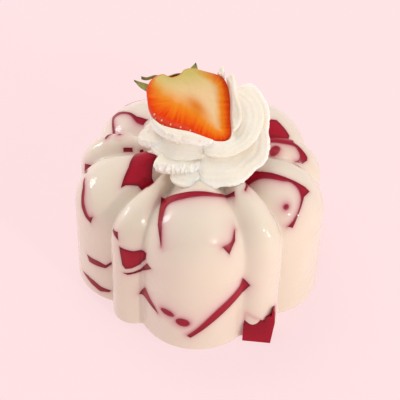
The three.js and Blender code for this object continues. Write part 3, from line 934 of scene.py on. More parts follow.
@dataclass(frozen=True)
class Cube:
    """A red cube with a flat face just behind the wall, and the milk film over that face.

    centre is the place on the wall in front of the face's middle, and facing the face's azimuth and
    elevation. outline is the cube's edge as it meets the wall, in millimetres right and up on the
    face. film is the smooth edge of the milk that has run in front of the face. dots are right, up,
    half length, half width and turn of spots where the cube touches the wall through the film.
    lowest is the level, out from the centre, that the wall falls back to within the outline, and
    turn turns the outline on the face. A proud cube stands out of the wall and ends at its centre.
    """

    node: str
    centre: Triple
    facing: Pair
    outline: tuple[Pair, ...]
    film: tuple[Pair, ...] = ()
    dots: tuple[tuple[float, float, float, float, float], ...] = ()
    lowest: float = 0.0
    turn: float = 0.0
    proud: bool = False

    def frame(self) -> Matrix:
        """Give the face's frame, turned on itself."""
        turn = Matrix.Rotation(math.radians(self.turn), 4, "Z")
        return face_frame(self.centre, self.facing) @ turn

    def film_edge(self) -> np.ndarray:
        """Give the film's edge as a smooth closed curve."""
        return closed_curve(self.film, FILM_STEPS)

    def spot_edges(self) -> list[np.ndarray]:
        """Give the edge of each spot."""
        edges = []
        around = np.linspace(0, 2 * math.pi, SPOT_STEPS, endpoint=False)
        for x, y, length, width, turn in self.dots:
            c, s = math.cos(math.radians(turn)), math.sin(math.radians(turn))
            along, aside = length * np.cos(around), width * np.sin(around)
            edges.append(np.column_stack((x + along * c - aside * s, y + along * s + aside * c)))
        return edges

    def build(self, wall: bpy.types.Object) -> bpy.types.Object:
        """Make the cube with its outer patches flush with the wall.

        Args:
            wall: The fluted form, a hair larger than the milk jelly's.

        Returns:
            The cube as one solid.
        """
        face, frame = self.lowest - FILM, self.frame()
        corners = resample(np.array(self.outline, dtype=float), CORNER_SPACING)
        made = prism(corners, face - CUBE_DEPTH, 0.0 if self.proud else REACH, frame)
        if self.film:
            combine(made, prism(self.film_edge(), face, REACH + OVERLAP, frame), Join.CUT)
        for edge in self.spot_edges():
            combine(made, prism(edge, face - OVERLAP, REACH, frame), Join.ADD)
        if self.proud:
            combine(made, underground(), Join.CUT)
        else:
            combine(made, wall, Join.KEEP, keep_tool=True)
        made.name = made.data.name = "cube_" + self.node
        made.data.shade_smooth()
        made.data.set_sharp_from_angle(angle=math.radians(CUBE_CREASE))
        return made

    def touching_edges(self, wall: BVHTree) -> tuple[np.ndarray, np.ndarray]:
        """Sample the edges of the patches where the cube touches the wall.

        Args:
            wall: The fluted form's faces, in millimetres.

        Returns:
            Points of the sharp outer edges, and of the edges that the film makes.
        """
        outline = np.array(self.outline, dtype=float)
        outer = resample(outline, SAMPLE_SPACING)
        inner = np.empty((0, 2))
        if self.film:
            film = self.film_edge()
            outer = outer[~inside(outer, film)]
            inner = resample(film, SAMPLE_SPACING)
            inner = inner[inside(inner, outline)]
        spots = [resample(edge, SAMPLE_SPACING) for edge in self.spot_edges()]
        inner = np.vstack([inner, *spots])
        return self.on_wall(outer, wall), self.on_wall(inner, wall)

    def on_wall(self, points: np.ndarray, wall: BVHTree) -> np.ndarray:
        """Throw points of the face out onto the wall.

        Args:
            points: Points right and up on the face, one row each.
            wall: The fluted form's faces, in millimetres.

        Returns:
            Their places on the wall; a point that misses is left out.
        """
        frame = self.frame()
        out = (frame.to_3x3() @ Vector((0, 0, 1))).normalized()
        hits = []
        for x, y in points:
            hit = wall.ray_cast(frame @ Vector((x, y, REACH)), -out)[0]
            if hit is not None:
                hits.append(hit)
        return np.array(hits).reshape(-1, 3)

    def covers(self, places: np.ndarray) -> np.ndarray:
        """Tell which points of the wall lie in front of the cube's face.

        Args:
            places: Points in millimetres, one row each.

        Returns:
            True or false for each point.
        """
        local = carry(places, self.frame().inverted())
        aside, out = VEIL_ROOM
        near = (np.abs(local[:, 2]) < out) & (np.abs(local[:, :2]).max(axis=1) < aside)
        return near & inside(local[:, :2], np.array(self.outline, dtype=float))


CUBES = (
    Cube(
        node="red_front_upper",
        centre=(1, -36.5, 53),
        facing=(-95, 62),
        outline=((-15.2, 10.2), (-8.4, 10), (5, 11.2), (11.4, 13.2), (13.4, -5.2), (11.8, -10.2),
                 (9.2, -8.6), (-12.2, -11.8), (-14.8, -1.8)),
        film=((10.8, 11.4), (5.2, 9.6), (-6, 7.2), (-11.8, 5.6), (-13, 0.2), (-12.6, -8.4),
              (-12.2, -13.4), (-1.6, -15.4), (6.8, -11.8), (9.2, -8.6), (12, -6), (12.8, -1.6),
              (14.4, 4.4), (13.8, 9.4)),
        lowest=-1.2,
    ),
    Cube(
        node="red_front_lower",
        centre=(-1, -45, 21),
        facing=(-94, 11),
        outline=((-18, 2), (-20.2, -2.6), (-17.4, -3), (-13, -6), (-5, -11.4), (0.4, -14.6), (4.4, -10.6),
                 (19.2, 5.4), (21.2, 8.8), (18.2, 12.4), (2.2, 14.4)),
        film=((-16, -0.4), (-12.8, -5.2), (-11.4, -9.8), (-6.6, -13.2), (-2, -14.6), (-0.2, -12.6),
              (3, -8.8), (9.4, -0.2), (15.8, 6.8), (17.6, 9.6), (17.8, 13.8), (11.2, 17.4), (2.8, 18.4),
              (-9.6, 14), (-17.6, 3.6)),
        dots=((-8.6, -3.5, 2.7, 1.5, -15), (-2.7, -6.7, 2.7, 2.1, -5)),
        lowest=-2.6,
    ),
    Cube(
        node="red_foot",
        centre=(24.5, -44.6, 6.5),
        facing=(-95, 11),
        outline=((-5, 7.4), (2, 3.2), (2.6, 5.6), (4.6, 6), (5, 9.4), (5.6, 8.4), (6, 3.2), (4.8, -7.4),
                 (-5.8, -7.4), (-5.8, 1)),
        proud=True,
    ),
    Cube(
        node="red_right_upper",
        centre=(30.5, -21.5, 54.5),
        facing=(-40, 58),
        outline=((-2, 14.2), (0.2, 12.2), (2.8, 8.4), (5.8, 3), (9.6, -3.4), (10.4, -5.8), (6.4, -6),
                 (2.2, -8.8), (-2.8, -12.2), (-4, -11), (-15.4, -1.2), (-13.2, 9.6)),
        film=((-11.8, 9.4), (-4.2, 10), (-1.2, 9), (3.2, 3.4), (5, 1.6), (6, -2), (4.8, -5.6), (0.6, -9),
              (-4, -10.6), (-14.2, -9), (-18.2, -0.8), (-16.4, 7)),
        dots=((-1.8, -4.7, 1, 1, 0),),
        lowest=-6.4,
    ),
    Cube(
        node="red_left_top_patch",
        centre=(-21.5, -11.5, 55),
        facing=(-174, 74),
        outline=((-14.7, -0.3), (-14.5, 1), (-7.2, 4), (-4.3, 7.2), (-0.7, 4.8), (2, 3.6), (7.5, 4.8),
                 (10, 2.8), (5.2, -1.8), (5.5, -6), (6.2, -7.8), (-1, -3.8), (-8.8, -1.5)),
    ),
    Cube(
        node="red_back_left_upper",
        centre=(-29, 17, 53.5),
        facing=(142, 72),
        outline=((10, -2), (5, -3.6), (-5.2, -12.6), (-7, -11), (-5.8, -1.6), (-4.8, 2.4), (-5.2, 8),
                 (-3.2, 7), (3.6, 11.2), (9.4, 4.8)),
        film=((10, -1.2), (5.6, -1.6), (-3.6, -9.6), (-5, -7.6), (-4.8, -1.8), (-2.6, 4.2), (-2.8, 10.8),
              (4.6, 15), (10.8, 6.2), (12.8, -0.8)),
        dots=((6.1, 2.7, 0.8, 0.6, 67),),
        lowest=-4.4,
    ),
    Cube(
        node="red_slit",
        centre=(-27, 4, 51.5),
        facing=(174, 79),
        outline=((-1.8, -0.4), (1.8, -0.4), (1.8, 0.4), (-1.8, 0.4)),
        turn=88,
    ),
    Cube(
        node="red_left_edge",
        centre=(-41, -17.5, 44.5),
        facing=(-152, 30),
        outline=((-8.6, 4.2), (-3.2, 7.4), (4.6, 1.6), (6.2, -3), (5.8, -5.8), (2.8, -5.4), (-0.6, -3.4),
                 (-5, 2.2)),
        film=((-8.8, 5.2), (-3.6, 3), (0.6, -1.4), (4.4, -3.8), (5.4, -3.4), (7, -0.4), (3.4, 5.6),
              (-5.4, 8.6)),
        lowest=-0.8,
    ),
    Cube(
        node="red_left_groove",
        centre=(-43.5, 1, 43.5),
        facing=(-171, 5),
        outline=((-6.6, -3), (6.2, 4.8), (7.2, 4.6), (-5.8, -6.4)),
    ),
    Cube(
        node="red_left_wedge",
        centre=(-36.5, -26, 20),
        facing=(-130, -19),
        outline=((-7.2, -0.8), (-1, 0), (2.2, -0.6), (8.2, 5.4), (7.8, 4.2), (2.2, -2.2), (-6, -3.4)),
    ),
    Cube(
        node="red_left_foot",
        centre=(-38.5, -23, 5.5),
        facing=(-130, 7),
        outline=((-7.8, 0.8), (-3.8, 1.8), (-0.2, 1.6), (3.4, 0.6), (7.6, 0.8), (6.6, -0.6), (2.6, -2.2),
                 (-2.4, -1)),
    ),
    Cube(
        node="red_groove_wedge",
        centre=(-29.5, -34, 44),
        facing=(-167, 14),
        outline=((-3.6, -0.6), (1, 2), (2.6, -0.4), (1.2, -0.4)),
    ),
    Cube(
        node="red_front_left_patch",
        centre=(-22.5, -39, 37),
        facing=(-111, 7),
        outline=((-5.6, 4), (0, 3.4), (5, 4.4), (4.8, 1.6), (2, -3.4), (-0.6, -5.4), (-3.2, -6.4),
                 (-4.4, -4.8)),
    ),
    Cube(
        node="red_front_left_sliver",
        centre=(-21, -40, 31.5),
        facing=(-117, 0),
        outline=((-5.8, -3.4), (-2, -2), (0.2, -0.6), (3.8, 5.8), (6.2, 5), (0.2, -2), (-4, -3.8)),
    ),
    Cube(
        node="red_back_right_groove",
        centre=(34.5, 9.5, 52),
        facing=(10, 60),
        outline=((9.4, 9), (11, 6.2), (11.6, 3.6), (8.8, -1), (7.4, -2.8), (-1.2, -0.4), (-4.8, -7.2),
                 (-5.8, -7.4), (-7, -5.8), (-7.2, -2.6), (-6.8, 3.2), (-5.4, 9.8)),
        film=((-3.2, -1), (-3.8, -1.8), (-6, -3.8), (-6.8, -3.2), (-7.2, -2.2), (-17, 8.8), (-14.4, 15.6),
              (-3.8, 12.2), (-3, 3.6)),
        dots=((-5.1, 6.7, 1.8, 1.2, 83),),
        lowest=-3.4,
    ),
    Cube(
        node="red_back_right_wall",
        centre=(30.5, 42.1, 25),
        facing=(54, 2),
        outline=((2.3, 13.2), (-13.2, 2.3), (-2.3, -13.2), (13.2, -2.3)),
        film=((9.4, -7), (8.6, -1), (9.6, 5), (4, 16), (-6, 16), (-9.8, 6), (-8.8, 1), (-9.4, -5),
              (-6, -16), (6, -16)),
        lowest=-3.4,
    ),
    Cube(
        node="red_back_upper",
        centre=(-23.6, 41.7, 43.2),
        facing=(120, 22),
        outline=((-9.6, -7.2), (-7.2, 9.6), (9.6, 7.2), (7.2, -9.6)),
        film=((-11, -12), (-7.4, -4), (-5.6, 4), (-3, 7.2), (2, 6.6), (7, 5.2), (12, 2), (12, -12),
              (0, -14)),
        lowest=-4.4,
    ),
    Cube(
        node="red_back_lower",
        centre=(-28.9, 41.9, 20),
        facing=(124, 9),
        outline=((-13, -9.6), (-11.4, -11.2), (-2, -4), (9, 2), (11.4, 6), (8.6, 7.4), (-1, 0.4)),
    ),
    Cube(
        node="red_back_groove",
        centre=(13.5, 40.2, 39.1),
        facing=(70, 16),
        outline=((-4.4, -3.4), (3.8, -4.6), (5.2, 1), (1.2, 4.4), (-3.2, 3.2)),
    ),
    Cube(
        node="red_back_foot",
        centre=(-1, 49, 8.8),
        facing=(91, 5),
        outline=((-6.4, -1.6), (0.6, -3.4), (6.8, -0.4), (2, 0.8), (-1.2, 3.4)),
    ),
)


@dataclass
class SetJelly:
    """The milk jelly and the red cubes set into it."""

    mould: Mould = field(default_factory=Mould)
    cubes: tuple[Cube, ...] = CUBES
    edge_depth: float = 1.6  # how far in from its edges a cube's dark rim fades out
    milky: Pair = (0.55, 0.3)  # share and reach of the milk that lies on a cube by the film
    # Share and reach of the red that shows in the milk.
    film_bleed: Pair = (0.75, 0.8)
    edge_bleed: Pair = (0.5, 0.48)
    face_veil: Pair = (0.7, 3.2)  # of the face under the thickening film
    round_veil: Pair = (0.35, 2.2)  # of the cube all round a patch

    def build(self) -> list[bpy.types.Object]:
        """Build the milk jelly and all cubes, dressed.

        Returns:
            The pieces.
        """
        milk = self.mould.build("milk_jelly_body")
        MilkJelly().wear(milk)
        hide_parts("milk_jelly")
        places = places_of(milk)
        wall = BVHTree.FromPolygons(places.tolist(), [tuple(p.vertices) for p in milk.data.polygons])
        cutter = twin(milk, "wall", swell=INLAY)
        made = [milk]
        outer_edges, inner_edges = [], []
        covered = np.zeros(len(places), dtype=bool)
        for cube in self.cubes:
            red = cube.build(cutter)
            RedJelly().wear(red)
            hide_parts(cube.node)
            made.append(red)
            outer, inner = cube.touching_edges(wall)
            self.shade_cube(red, outer, inner)
            outer_edges.append(outer)
            inner_edges.append(inner)
            if cube.film:
                covered |= cube.covers(places)
        discard(cutter)
        self.shade_milk(milk, places, np.vstack(outer_edges), np.vstack(inner_edges), covered)
        return made

    def shade_cube(self, red: bpy.types.Object, outer: np.ndarray, inner: np.ndarray) -> None:
        """Store how far inside its edges each point of a cube's patch lies.

        Args:
            red: The cube.
            outer: Points of its sharp outer edges on the wall.
            inner: Points of the edges that the film makes.
        """
        places = places_of(red)
        far = nearest(np.vstack([outer, inner]), places)[0]
        paint(red, "depth", np.clip(far / self.edge_depth, 0, 1))
        share, reach = self.milky
        to_inner = nearest(inner, places)[0] if len(inner) else np.full(len(places), np.inf)
        paint(red, "milky", share * bell(to_inner, reach))

    def shade_milk(
        self,
        milk: bpy.types.Object,
        places: np.ndarray,
        outer: np.ndarray,
        inner: np.ndarray,
        covered: np.ndarray,
    ) -> None:
        """Store how red shows through the milk round the cubes.

        Args:
            milk: The milk jelly.
            places: Its vertices.
            outer: Points of all sharp outer edges.
            inner: Points of all film edges.
            covered: Which vertices lie in front of a cube's face.
        """
        to_outer = nearest(outer, places)[0]
        to_inner = nearest(inner, places)[0]
        in_film, at_edge, behind, around = (
            share * np.exp(-far / reach)
            for (share, reach), far in (
                (self.film_bleed, to_inner),
                (self.edge_bleed, to_outer),
                (self.face_veil, to_inner),
                (self.round_veil, np.minimum(to_outer, to_inner)),
            )
        )
        paint(milk, "bleed", np.maximum(in_film, at_edge))
        paint(milk, "veil", np.maximum(np.where(covered, behind, 0.0), around))


# ---- Whipped cream -----------------------------------------------------------------------------

Station = tuple[float, float, float, float, float]

SEAT_LIFT = 0.1  # clearance of the cream over the milk jelly
# Height, lump size and seed of the noises that make a fold, in millimetres.
TEARS = ((0.8, 2.6, 0.0), (0.55, 1.2, 3.1), (0.4, 0.6, 4.7))  # where its edge is torn
CRUMBS = ((0.3, 1.3, 6.1), (0.22, 0.65, 8.3))  # standing off it near that edge
SWAY = ((0.5, 7.0, 5.3),)  # slow waves of the whole fold
WANDER = ((0.2, 12.0, 9.1),)  # of the grooves to either side, its height as a share of one groove
TEAR_POWER = 6  # how near the edge the tears begin
CRUMB_POWER = 8
GROOVES = 5.5  # from a fold's root to its edge, left by the nozzle's teeth
GROOVE_DEPTH = 0.1
BULGE = 0.5  # how far a fold is arched between its root and its edge
END_TAPER = 0.3  # share by which a fold is shorter and thinner at its two ends
END_POWER = 6
ROUNDING = 0.2  # share of the rim's thickness that is rounded off at its corners
ROUNDING_POWER = 8
NOISE_ACROSS = 5.0  # run of the noise from root to edge
NOISE_THROUGH = 7.0  # shift of the noise for each millimetre of thickness, so that no two folds match


@dataclass(frozen=True)
class Petal:
    """One fold of the rosette.

    Each station is azimuth, root radius, root height, edge radius and edge height about the
    rosette's axis. thick is the fold's thickness at its root, rim the share of it that is left at
    its outer edge, and fray how far that edge is torn, in millimetres.
    """

    thick: float
    rim: float
    fray: float
    stations: tuple[Station, ...]

    def path(self) -> np.ndarray:
        """Give the stations with azimuths that run on past 180 degrees."""
        rows = np.array(self.stations, dtype=float)
        for i in range(1, len(rows)):
            if rows[i, 0] - rows[i - 1, 0] < -180:
                rows[i:, 0] += 360
        return rows

    def between(self, share: np.ndarray) -> np.ndarray:
        """Run a smooth curve through the stations.

        Args:
            share: Places along the fold, from 0 to 1.

        Returns:
            A station for each place.
        """
        rows = self.path()
        last = len(rows) - 1
        at = np.minimum((share * last).astype(int), last - 1)
        local = (share * last - at)[:, None]
        a, b, c, d = (rows[np.clip(at + k, 0, last)] for k in (-1, 0, 1, 2))
        ease = local**2 * (2 * a - 5 * b + 4 * c - d) + local**3 * (3 * b - a - 3 * c + d)
        return 0.5 * (2 * b + local * (c - a) + ease)

    def place(self, shares: np.ndarray, centre: Pair) -> np.ndarray:
        """Bend shares along, across and through the fold to its shape.

        Args:
            shares: Three shares for each point, which stand as s, t and w below.
            centre: The rosette's axis.

        Returns:
            The points in millimetres.
        """
        s, t, w = shares.T
        station = self.between(s)
        azimuth = np.radians(station[:, 0])
        root, edge = station[:, 1:3], station[:, 3:5]
        rim = self.rim * self.thick
        through = NOISE_THROUGH * self.thick + rim * w
        line = np.column_stack((azimuth * edge[:, 0], NOISE_ACROSS * t, through))
        level = line * (1, 0, 1)
        torn = rough(line, TEARS) * self.fray * t**TEAR_POWER
        crumb = rough(line, CRUMBS) * self.fray * t**CRUMB_POWER
        sway = rough(level, SWAY) * t**2
        grooves = GROOVE_DEPTH * np.sin(2 * math.pi * (GROOVES * t + rough(level, WANDER))) * t
        taper = 1 - END_TAPER * (2 * s - 1) ** END_POWER
        body = self.thick * (self.rim + (1 - self.rim) * np.sqrt(1 - t**2)) * taper
        rounding = ROUNDING * rim * (2 * w - 1) ** 2 * t**ROUNDING_POWER
        off = BULGE * np.sin(math.pi * t) + (grooves + crumb) * (1 - 2 * w) + sway - body * w
        run = edge - root
        length = np.hypot(run[:, 0], run[:, 1])[:, None]
        normal = np.column_stack((-run[:, 1], run[:, 0])) / length
        section = root + run * (t * taper)[:, None] + run / length * (torn - rounding)[:, None]
        radius, height = (section + normal * off[:, None]).T
        x, y = radius * np.cos(azimuth), radius * np.sin(azimuth)
        return np.column_stack((centre[0] + x, centre[1] + y, height))


@dataclass
class Rosette:
    """The piped whipped cream: folds that climb round a core."""

    centre: Pair = (1.5, -2.0)
    core: tuple[Pair, ...] = (
        (0, 54), (15, 54), (17, 58), (15, 64), (12.5, 69), (10, 74), (8, 79), (0, 82)
    )
    petals: tuple[Petal, ...] = (
        Petal(6, 0.3, 0.5, (
            (-40, 9, 61, 17, 61.5), (-10, 9, 62, 21, 60.5), (30, 9, 63, 22, 58), (70, 9, 62, 21, 57),
            (110, 9, 62, 22, 57), (145, 9, 62.5, 20.5, 58.5), (180, 9, 62, 14, 60.5),
        )),
        Petal(4, 0.3, 0.15, (
            (-124, 10, 61, 22.5, 62), (-116, 10.5, 62.5, 24, 61.6), (-105, 11, 63.5, 25, 61.6),
            (-97, 11, 64, 24.5, 61.6), (-90, 11, 64, 23, 62),
        )),
        Petal(6, 0.62, 0.8, (
            (-141, 10, 65.5, 21, 66.5), (-137, 11, 64.5, 24, 66.5), (-131, 11, 64, 24, 66.3),
            (-116, 11, 64, 20, 66.2), (-98, 11, 64, 17.8, 66.2), (-82, 11, 65, 16, 66.4),
        )),
        Petal(6, 0.2, 0.5, (
            (-96, 12, 67, 19.5, 61.5), (-89, 12.5, 68, 24.5, 60.8), (-74, 12.5, 69, 25, 61.2),
            (-59, 12.5, 69, 26.5, 62), (-43, 12, 69, 25.5, 63.5), (-29, 12, 69.5, 26.5, 65),
            (-16, 11.5, 70, 25.5, 67.5), (-4, 11, 72, 24, 71), (9, 10, 73, 24.5, 75), (22, 8, 75, 23, 79),
            (34, 7, 77, 21.5, 82), (44, 6, 77, 18, 80),
        )),
        Petal(6, 0.5, 0.8, (
            (62, 10, 68, 24, 61), (95, 10, 68.5, 23, 62), (129, 10, 70, 19.5, 65.5),
            (155, 10, 70.5, 18.6, 68), (174, 10, 71, 20, 69), (-173, 10, 71, 23.6, 68.6),
            (-166, 10, 71, 24.8, 67.8), (-158, 10, 71, 22.6, 67.6), (-146, 10, 71.5, 17.5, 69),
        )),
        Petal(5, 0.3, 0.12, (
            (-168, 14, 69, 22, 65.8), (-154, 14, 70.5, 21.4, 65.2), (-146, 14, 71.5, 20.8, 65.2),
            (-134, 13, 72, 19.6, 65.6), (-117, 11.5, 72, 17.5, 66), (-100, 11, 72, 15.4, 66.2),
            (-85, 11, 72.5, 14.7, 66.6), (-74, 10, 72.5, 13, 67.5),
        )),
        Petal(5, 0.2, 0.12, (
            (-88, 10, 71.5, 17, 68.5), (-65, 10, 72.5, 18.5, 68.8), (-46, 10, 73, 19.5, 70),
            (-31, 10, 73.5, 21, 71.5), (-16, 9, 74, 21.5, 73), (1, 8, 75, 22, 75.5),
            (13, 7.5, 76, 20.5, 78.5), (22, 7, 77, 18, 80.5), (28, 6.5, 78, 15.5, 82.5),
            (34, 6, 78, 12.5, 82),
        )),
        Petal(6, 0.65, 0.8, (
            (85, 6, 76, 14, 76), (130, 7, 78, 17, 76.5), (165, 7, 78, 18.6, 77), (-163, 7, 78, 20, 77),
            (-152, 7, 77.5, 19.5, 76), (-138, 7, 77, 18, 75.3), (-118, 7, 76.5, 15, 74.6),
            (-90, 6, 75.5, 13.8, 73.6), (-66, 6, 75, 13.4, 73.2),
        )),
        Petal(4, 0.25, 0.1, (
            (-43, 5, 73, 16, 76), (-24, 5, 75, 15, 78), (-14, 5, 76, 13.5, 81), (0, 5, 77, 11.5, 84),
            (18, 5, 77, 11, 87), (34, 5, 78, 11.5, 89.2), (47, 5, 78, 9.6, 86), (60, 5, 78, 12, 90.2),
            (71, 5, 76, 8, 83.5),
        )),
    )
    core_columns: int = 64
    fold_columns: int = 30  # divisions of a fold from one station to the next
    fold_rows: int = 40  # from its root to its edge
    rim_cuts: int = 7  # and through its thickness
    samples: tuple[int, int] = (160, 16)  # places along and across a fold where its stripes are sampled
    first_row: float = 0.05  # how far across a fold, as a share, the first of them lie
    edge_samples: int = 400
    stripe_shift: float = 1.7  # from one fold's stripes to the next one's, so that no two are alike
    ragged: float = 0.4  # folds with more fray than this have white crumbs at their edge
    crumb_width: float = 1.1
    crease: float = 45.0  # edges that turn by more degrees than this stay sharp

    def fold(self, petal: Petal) -> bmesh.types.BMesh:
        """Make one fold as a bent slab.

        Args:
            petal: The fold.

        Returns:
            Its mesh, in millimetres.
        """
        bm = slab(self.fold_columns * (len(petal.stations) - 1), self.fold_rows)
        upright = [e for e in bm.edges if e.verts[0].co.z != e.verts[1].co.z]
        bmesh.ops.subdivide_edges(bm, edges=upright, cuts=self.rim_cuts, use_grid_fill=True)
        reshape(bm, lambda shares: petal.place(shares, self.centre))
        bmesh.ops.recalc_face_normals(bm, faces=bm.faces)
        return bm

    def heart(self) -> bmesh.types.BMesh:
        """Spin the core that the folds grow out of."""
        bm = spun(self.core, self.core_columns)
        bmesh.ops.translate(bm, vec=(*self.centre, 0), verts=bm.verts)
        return bm

    def stripes(self) -> tuple[np.ndarray, np.ndarray, np.ndarray]:
        """Sample the folds' upper sides.

        Returns:
            Points on them, how far across each lies, and points along the torn edges.
        """
        along, rows = self.samples
        s, t = np.meshgrid(np.linspace(0, 1, along), np.linspace(self.first_row, 1, rows))
        top = np.column_stack((s.ravel(), t.ravel(), np.zeros(s.size)))
        run = np.linspace(0, 1, self.edge_samples)
        edge = np.column_stack((run, np.ones_like(run), np.full_like(run, 0.5)))
        places = [petal.place(top, self.centre) for petal in self.petals]
        across = [top[:, 1] + self.stripe_shift * number for number in range(len(self.petals))]
        torn = [petal.place(edge, self.centre) for petal in self.petals if petal.fray > self.ragged]
        return np.vstack(places), np.concatenate(across), np.vstack(torn)

    def build(self, milk: bpy.types.Object, hollow: bpy.types.Object) -> bpy.types.Object:
        """Pipe the rosette onto the jelly.

        Args:
            milk: The milk jelly, which the cream sits on.
            hollow: The room that the strawberry needs, which is used up.

        Returns:
            The dressed rosette.
        """
        cream = piece(self.heart(), "rosette")
        for petal in self.petals:
            combine(cream, piece(self.fold(petal), "fold"), Join.ADD)
        combine(cream, twin(milk, "seat", lift=SEAT_LIFT), Join.CUT)
        combine(cream, hollow, Join.CUT)
        tops, across, torn = self.stripes()
        places = places_of(cream)
        paint(cream, "across", across[nearest(tops, places)[1]])
        paint(cream, "crumb", bell(nearest(torn, places)[0], self.crumb_width))
        cream.data.set_sharp_from_angle(angle=math.radians(self.crease))
        WhippedCream().wear(cream)
        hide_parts("whipped_cream")
        return cream


# ---- Strawberry --------------------------------------------------------------------------------

FACE_GRAIN = ((0.12, 1.6, 0.0), (0.25, 6.0, 4.0))  # height, lump size and seed of its unevenness
GOLDEN_TURN = math.pi * (3 - math.sqrt(5))  # spreads points evenly over a round form
TINY = 1e-6  # room for rounding where a height or a share is compared
RIM_STEPS = 40  # points of the face's edge from one given point to the next
TINT_STEPS = 8  # and where it colours the flesh
TINT_SPACING = 0.25  # distance between those points once they are evened out
ROOM_COLUMNS = 64  # divisions of the room for the fruit, round its axis
ROOM_RINGS = 8  # and from its pole to its edge
ROOM_SWELL = 1.01  # how much wider than the face the room in front of it is


@dataclass
class Strawberry:
    """Half a strawberry, cut side up, with its pips and what is left of its calyx."""

    centre: Triple = (-3.6, -2.6, 80.4)
    facing: Pair = (-75.0, 50.0)
    depth: float = 11.5
    columns: int = 220
    outline: tuple[Pair, ...] = (
        (-5.2, 10.8), (-8.1, 12.3), (-12.2, 11), (-14.6, 8), (-15.2, 3.6), (-15.2, 0.6), (-14.2, -2.6),
        (-11.6, -6), (-7.1, -8.4), (-2.5, -10.2), (1.6, -12.4), (4.6, -14), (7.5, -15.1), (10, -15.4),
        (12.2, -14.4), (13.1, -12.6), (13.9, -6.8), (14.7, -1.7), (15, 3.5), (14.3, 7), (12.1, 9.2),
        (8.1, 11), (3, 13), (0.2, 13), (-1.8, 11.4),
    )
    # Width of the orange band inside the edge, by azimuth on the face in degrees.
    band: tuple[Pair, ...] = (
        (0, 5.8), (30, 5.2), (55, 3.0), (75, 0.8), (100, 0.2), (135, 0.3), (150, 5.0), (165, 9.5),
        (190, 12), (215, 12), (240, 11), (265, 9), (285, 7.0), (305, 5.5), (330, 5.8), (360, 5.8),
    )
    # Width of the strip of skin that shows in front of the cut, likewise.
    strip: tuple[Pair, ...] = (
        (0, 0.3), (172, 0.3), (185, 1.2), (197, 2.6), (215, 2.8), (235, 2.5), (252, 2.1), (270, 1.4),
        (287, 0.6), (302, 0.3), (360, 0.3),
    )
    fullness: Pair = (0.8, 0.9)  # powers under 1 that fill out its side and its back
    rings: int = 40
    face_rings: int = 48
    skin_rings: int = 7  # of the face's rings, the outer ones that curve down as a strip of skin
    crease: float = 50.0  # edges that turn by more degrees than this stay sharp
    clearance: float = 0.15  # between the fruit and the cream
    lip: float = 0.3  # how far below the face the cream is cleared in front of it
    pips: int = 150
    pip_range: Pair = (0.1, 0.84)  # from the pole, the height of the first and the run to the last
    strip_pips: tuple[int, int, int] = (84, 150, 6)  # on the strip: first, end and step along the edge
    strip_rows: Pair = (0.9, 0.96)  # shares of the face's radius where they lie, in turn
    pip_size: Triple = (0.32, 0.5, 0.24)  # half width, half length and half height of one
    pip_sunk: float = 0.3
    pit: Pair = (0.42, 0.85)  # depth and reach of the dimple round a pip
    smooth_rim: float = 2.5  # width of the face's edge where its grain fades in
    # The hollow core runs from the stem to the tip, and an amber patch lies in its lower half.
    core_axis: Pair = (0.52, -0.85)
    amber_middle: Pair = (2.2, 1.1)
    amber_reach: Pair = (4.6, 2.4)
    amber_share: float = 0.95
    shoulder_middle: Pair = (-0.5, 13.0)  # of the unripe patch at the stem, on the face
    shoulder_reach: Pair = (12.0, 6.0)
    shoulder_share: float = 0.9
    skin_shoulder: Pair = (13.5, 3.0)  # height and reach of the patch on the skin
    ripe_power: float = 1.1

    def frame(self) -> Matrix:
        """Give the cut face's frame."""
        return face_frame(self.centre, self.facing)

    def rim(self, azimuth: np.ndarray) -> np.ndarray:
        """Give the cut face's edge, at even steps along its curve.

        Args:
            azimuth: Directions of a circle in radians, which stand for steps along the curve.

        Returns:
            The edge's points, one row each.
        """
        curve = closed_curve(self.outline, RIM_STEPS)
        step = (azimuth / (2 * math.pi)) % 1 * len(curve)
        low = np.floor(step).astype(int) % len(curve)
        share = (step - np.floor(step))[:, None]
        return curve[low] * (1 - share) + curve[(low + 1) % len(curve)] * share

    def dome(self, columns: int, rings: int, face_rings: int) -> bmesh.types.BMesh:
        """Make a plain half ball of radius 1, flat side up.

        Args:
            columns: Its divisions round the axis.
            rings: Its divisions from the pole to the edge.
            face_rings: Divisions of the flat side.

        Returns:
            Its mesh.
        """
        aside, down = self.fullness
        points = []
        for i in range(rings + 1):
            turn = math.pi / 2 * i / rings
            points.append((math.sin(turn) ** aside, -(math.cos(turn) ** down)))
        points += [(1 - i / face_rings, 0.0) for i in range(1, face_rings + 1)]
        return spun(points, columns)

    def swell(self, places: np.ndarray, margin: float = 0.0, strip: bool = True) -> np.ndarray:
        """Turn the plain half ball to the fruit's form.

        Args:
            places: Points of the half ball.
            margin: How far the form is grown.
            strip: Whether the face's outer rings curve down as skin.

        Returns:
            The form's points in millimetres.
        """
        share = np.hypot(places[:, 0], places[:, 1])
        edge = self.rim(np.arctan2(places[:, 1], places[:, 0]))
        radius = np.hypot(edge[:, 0], edge[:, 1])
        degrees = np.degrees(np.arctan2(edge[:, 1], edge[:, 0])) % 360
        width = np.interp(degrees, *np.array(self.strip).T) if strip else np.zeros(len(places))
        cut = 1 - self.skin_rings / self.face_rings
        over = np.clip((share - cut) / (1 - cut), 0, 1) * math.pi / 2
        skin = width / radius
        flat = np.where(share <= cut, share / cut * (1 - skin), 1 - skin * (1 - np.sin(over)))
        face = (places[:, 2] > -TINY) & strip
        reach = np.where(face, flat, share) * (1 + margin / radius)
        drop = width * np.where(face, 1 - np.cos(over), 1 + places[:, 2])
        height = places[:, 2] * (self.depth + 2 * margin) + margin - drop
        return np.column_stack((edge * reach[:, None], height))

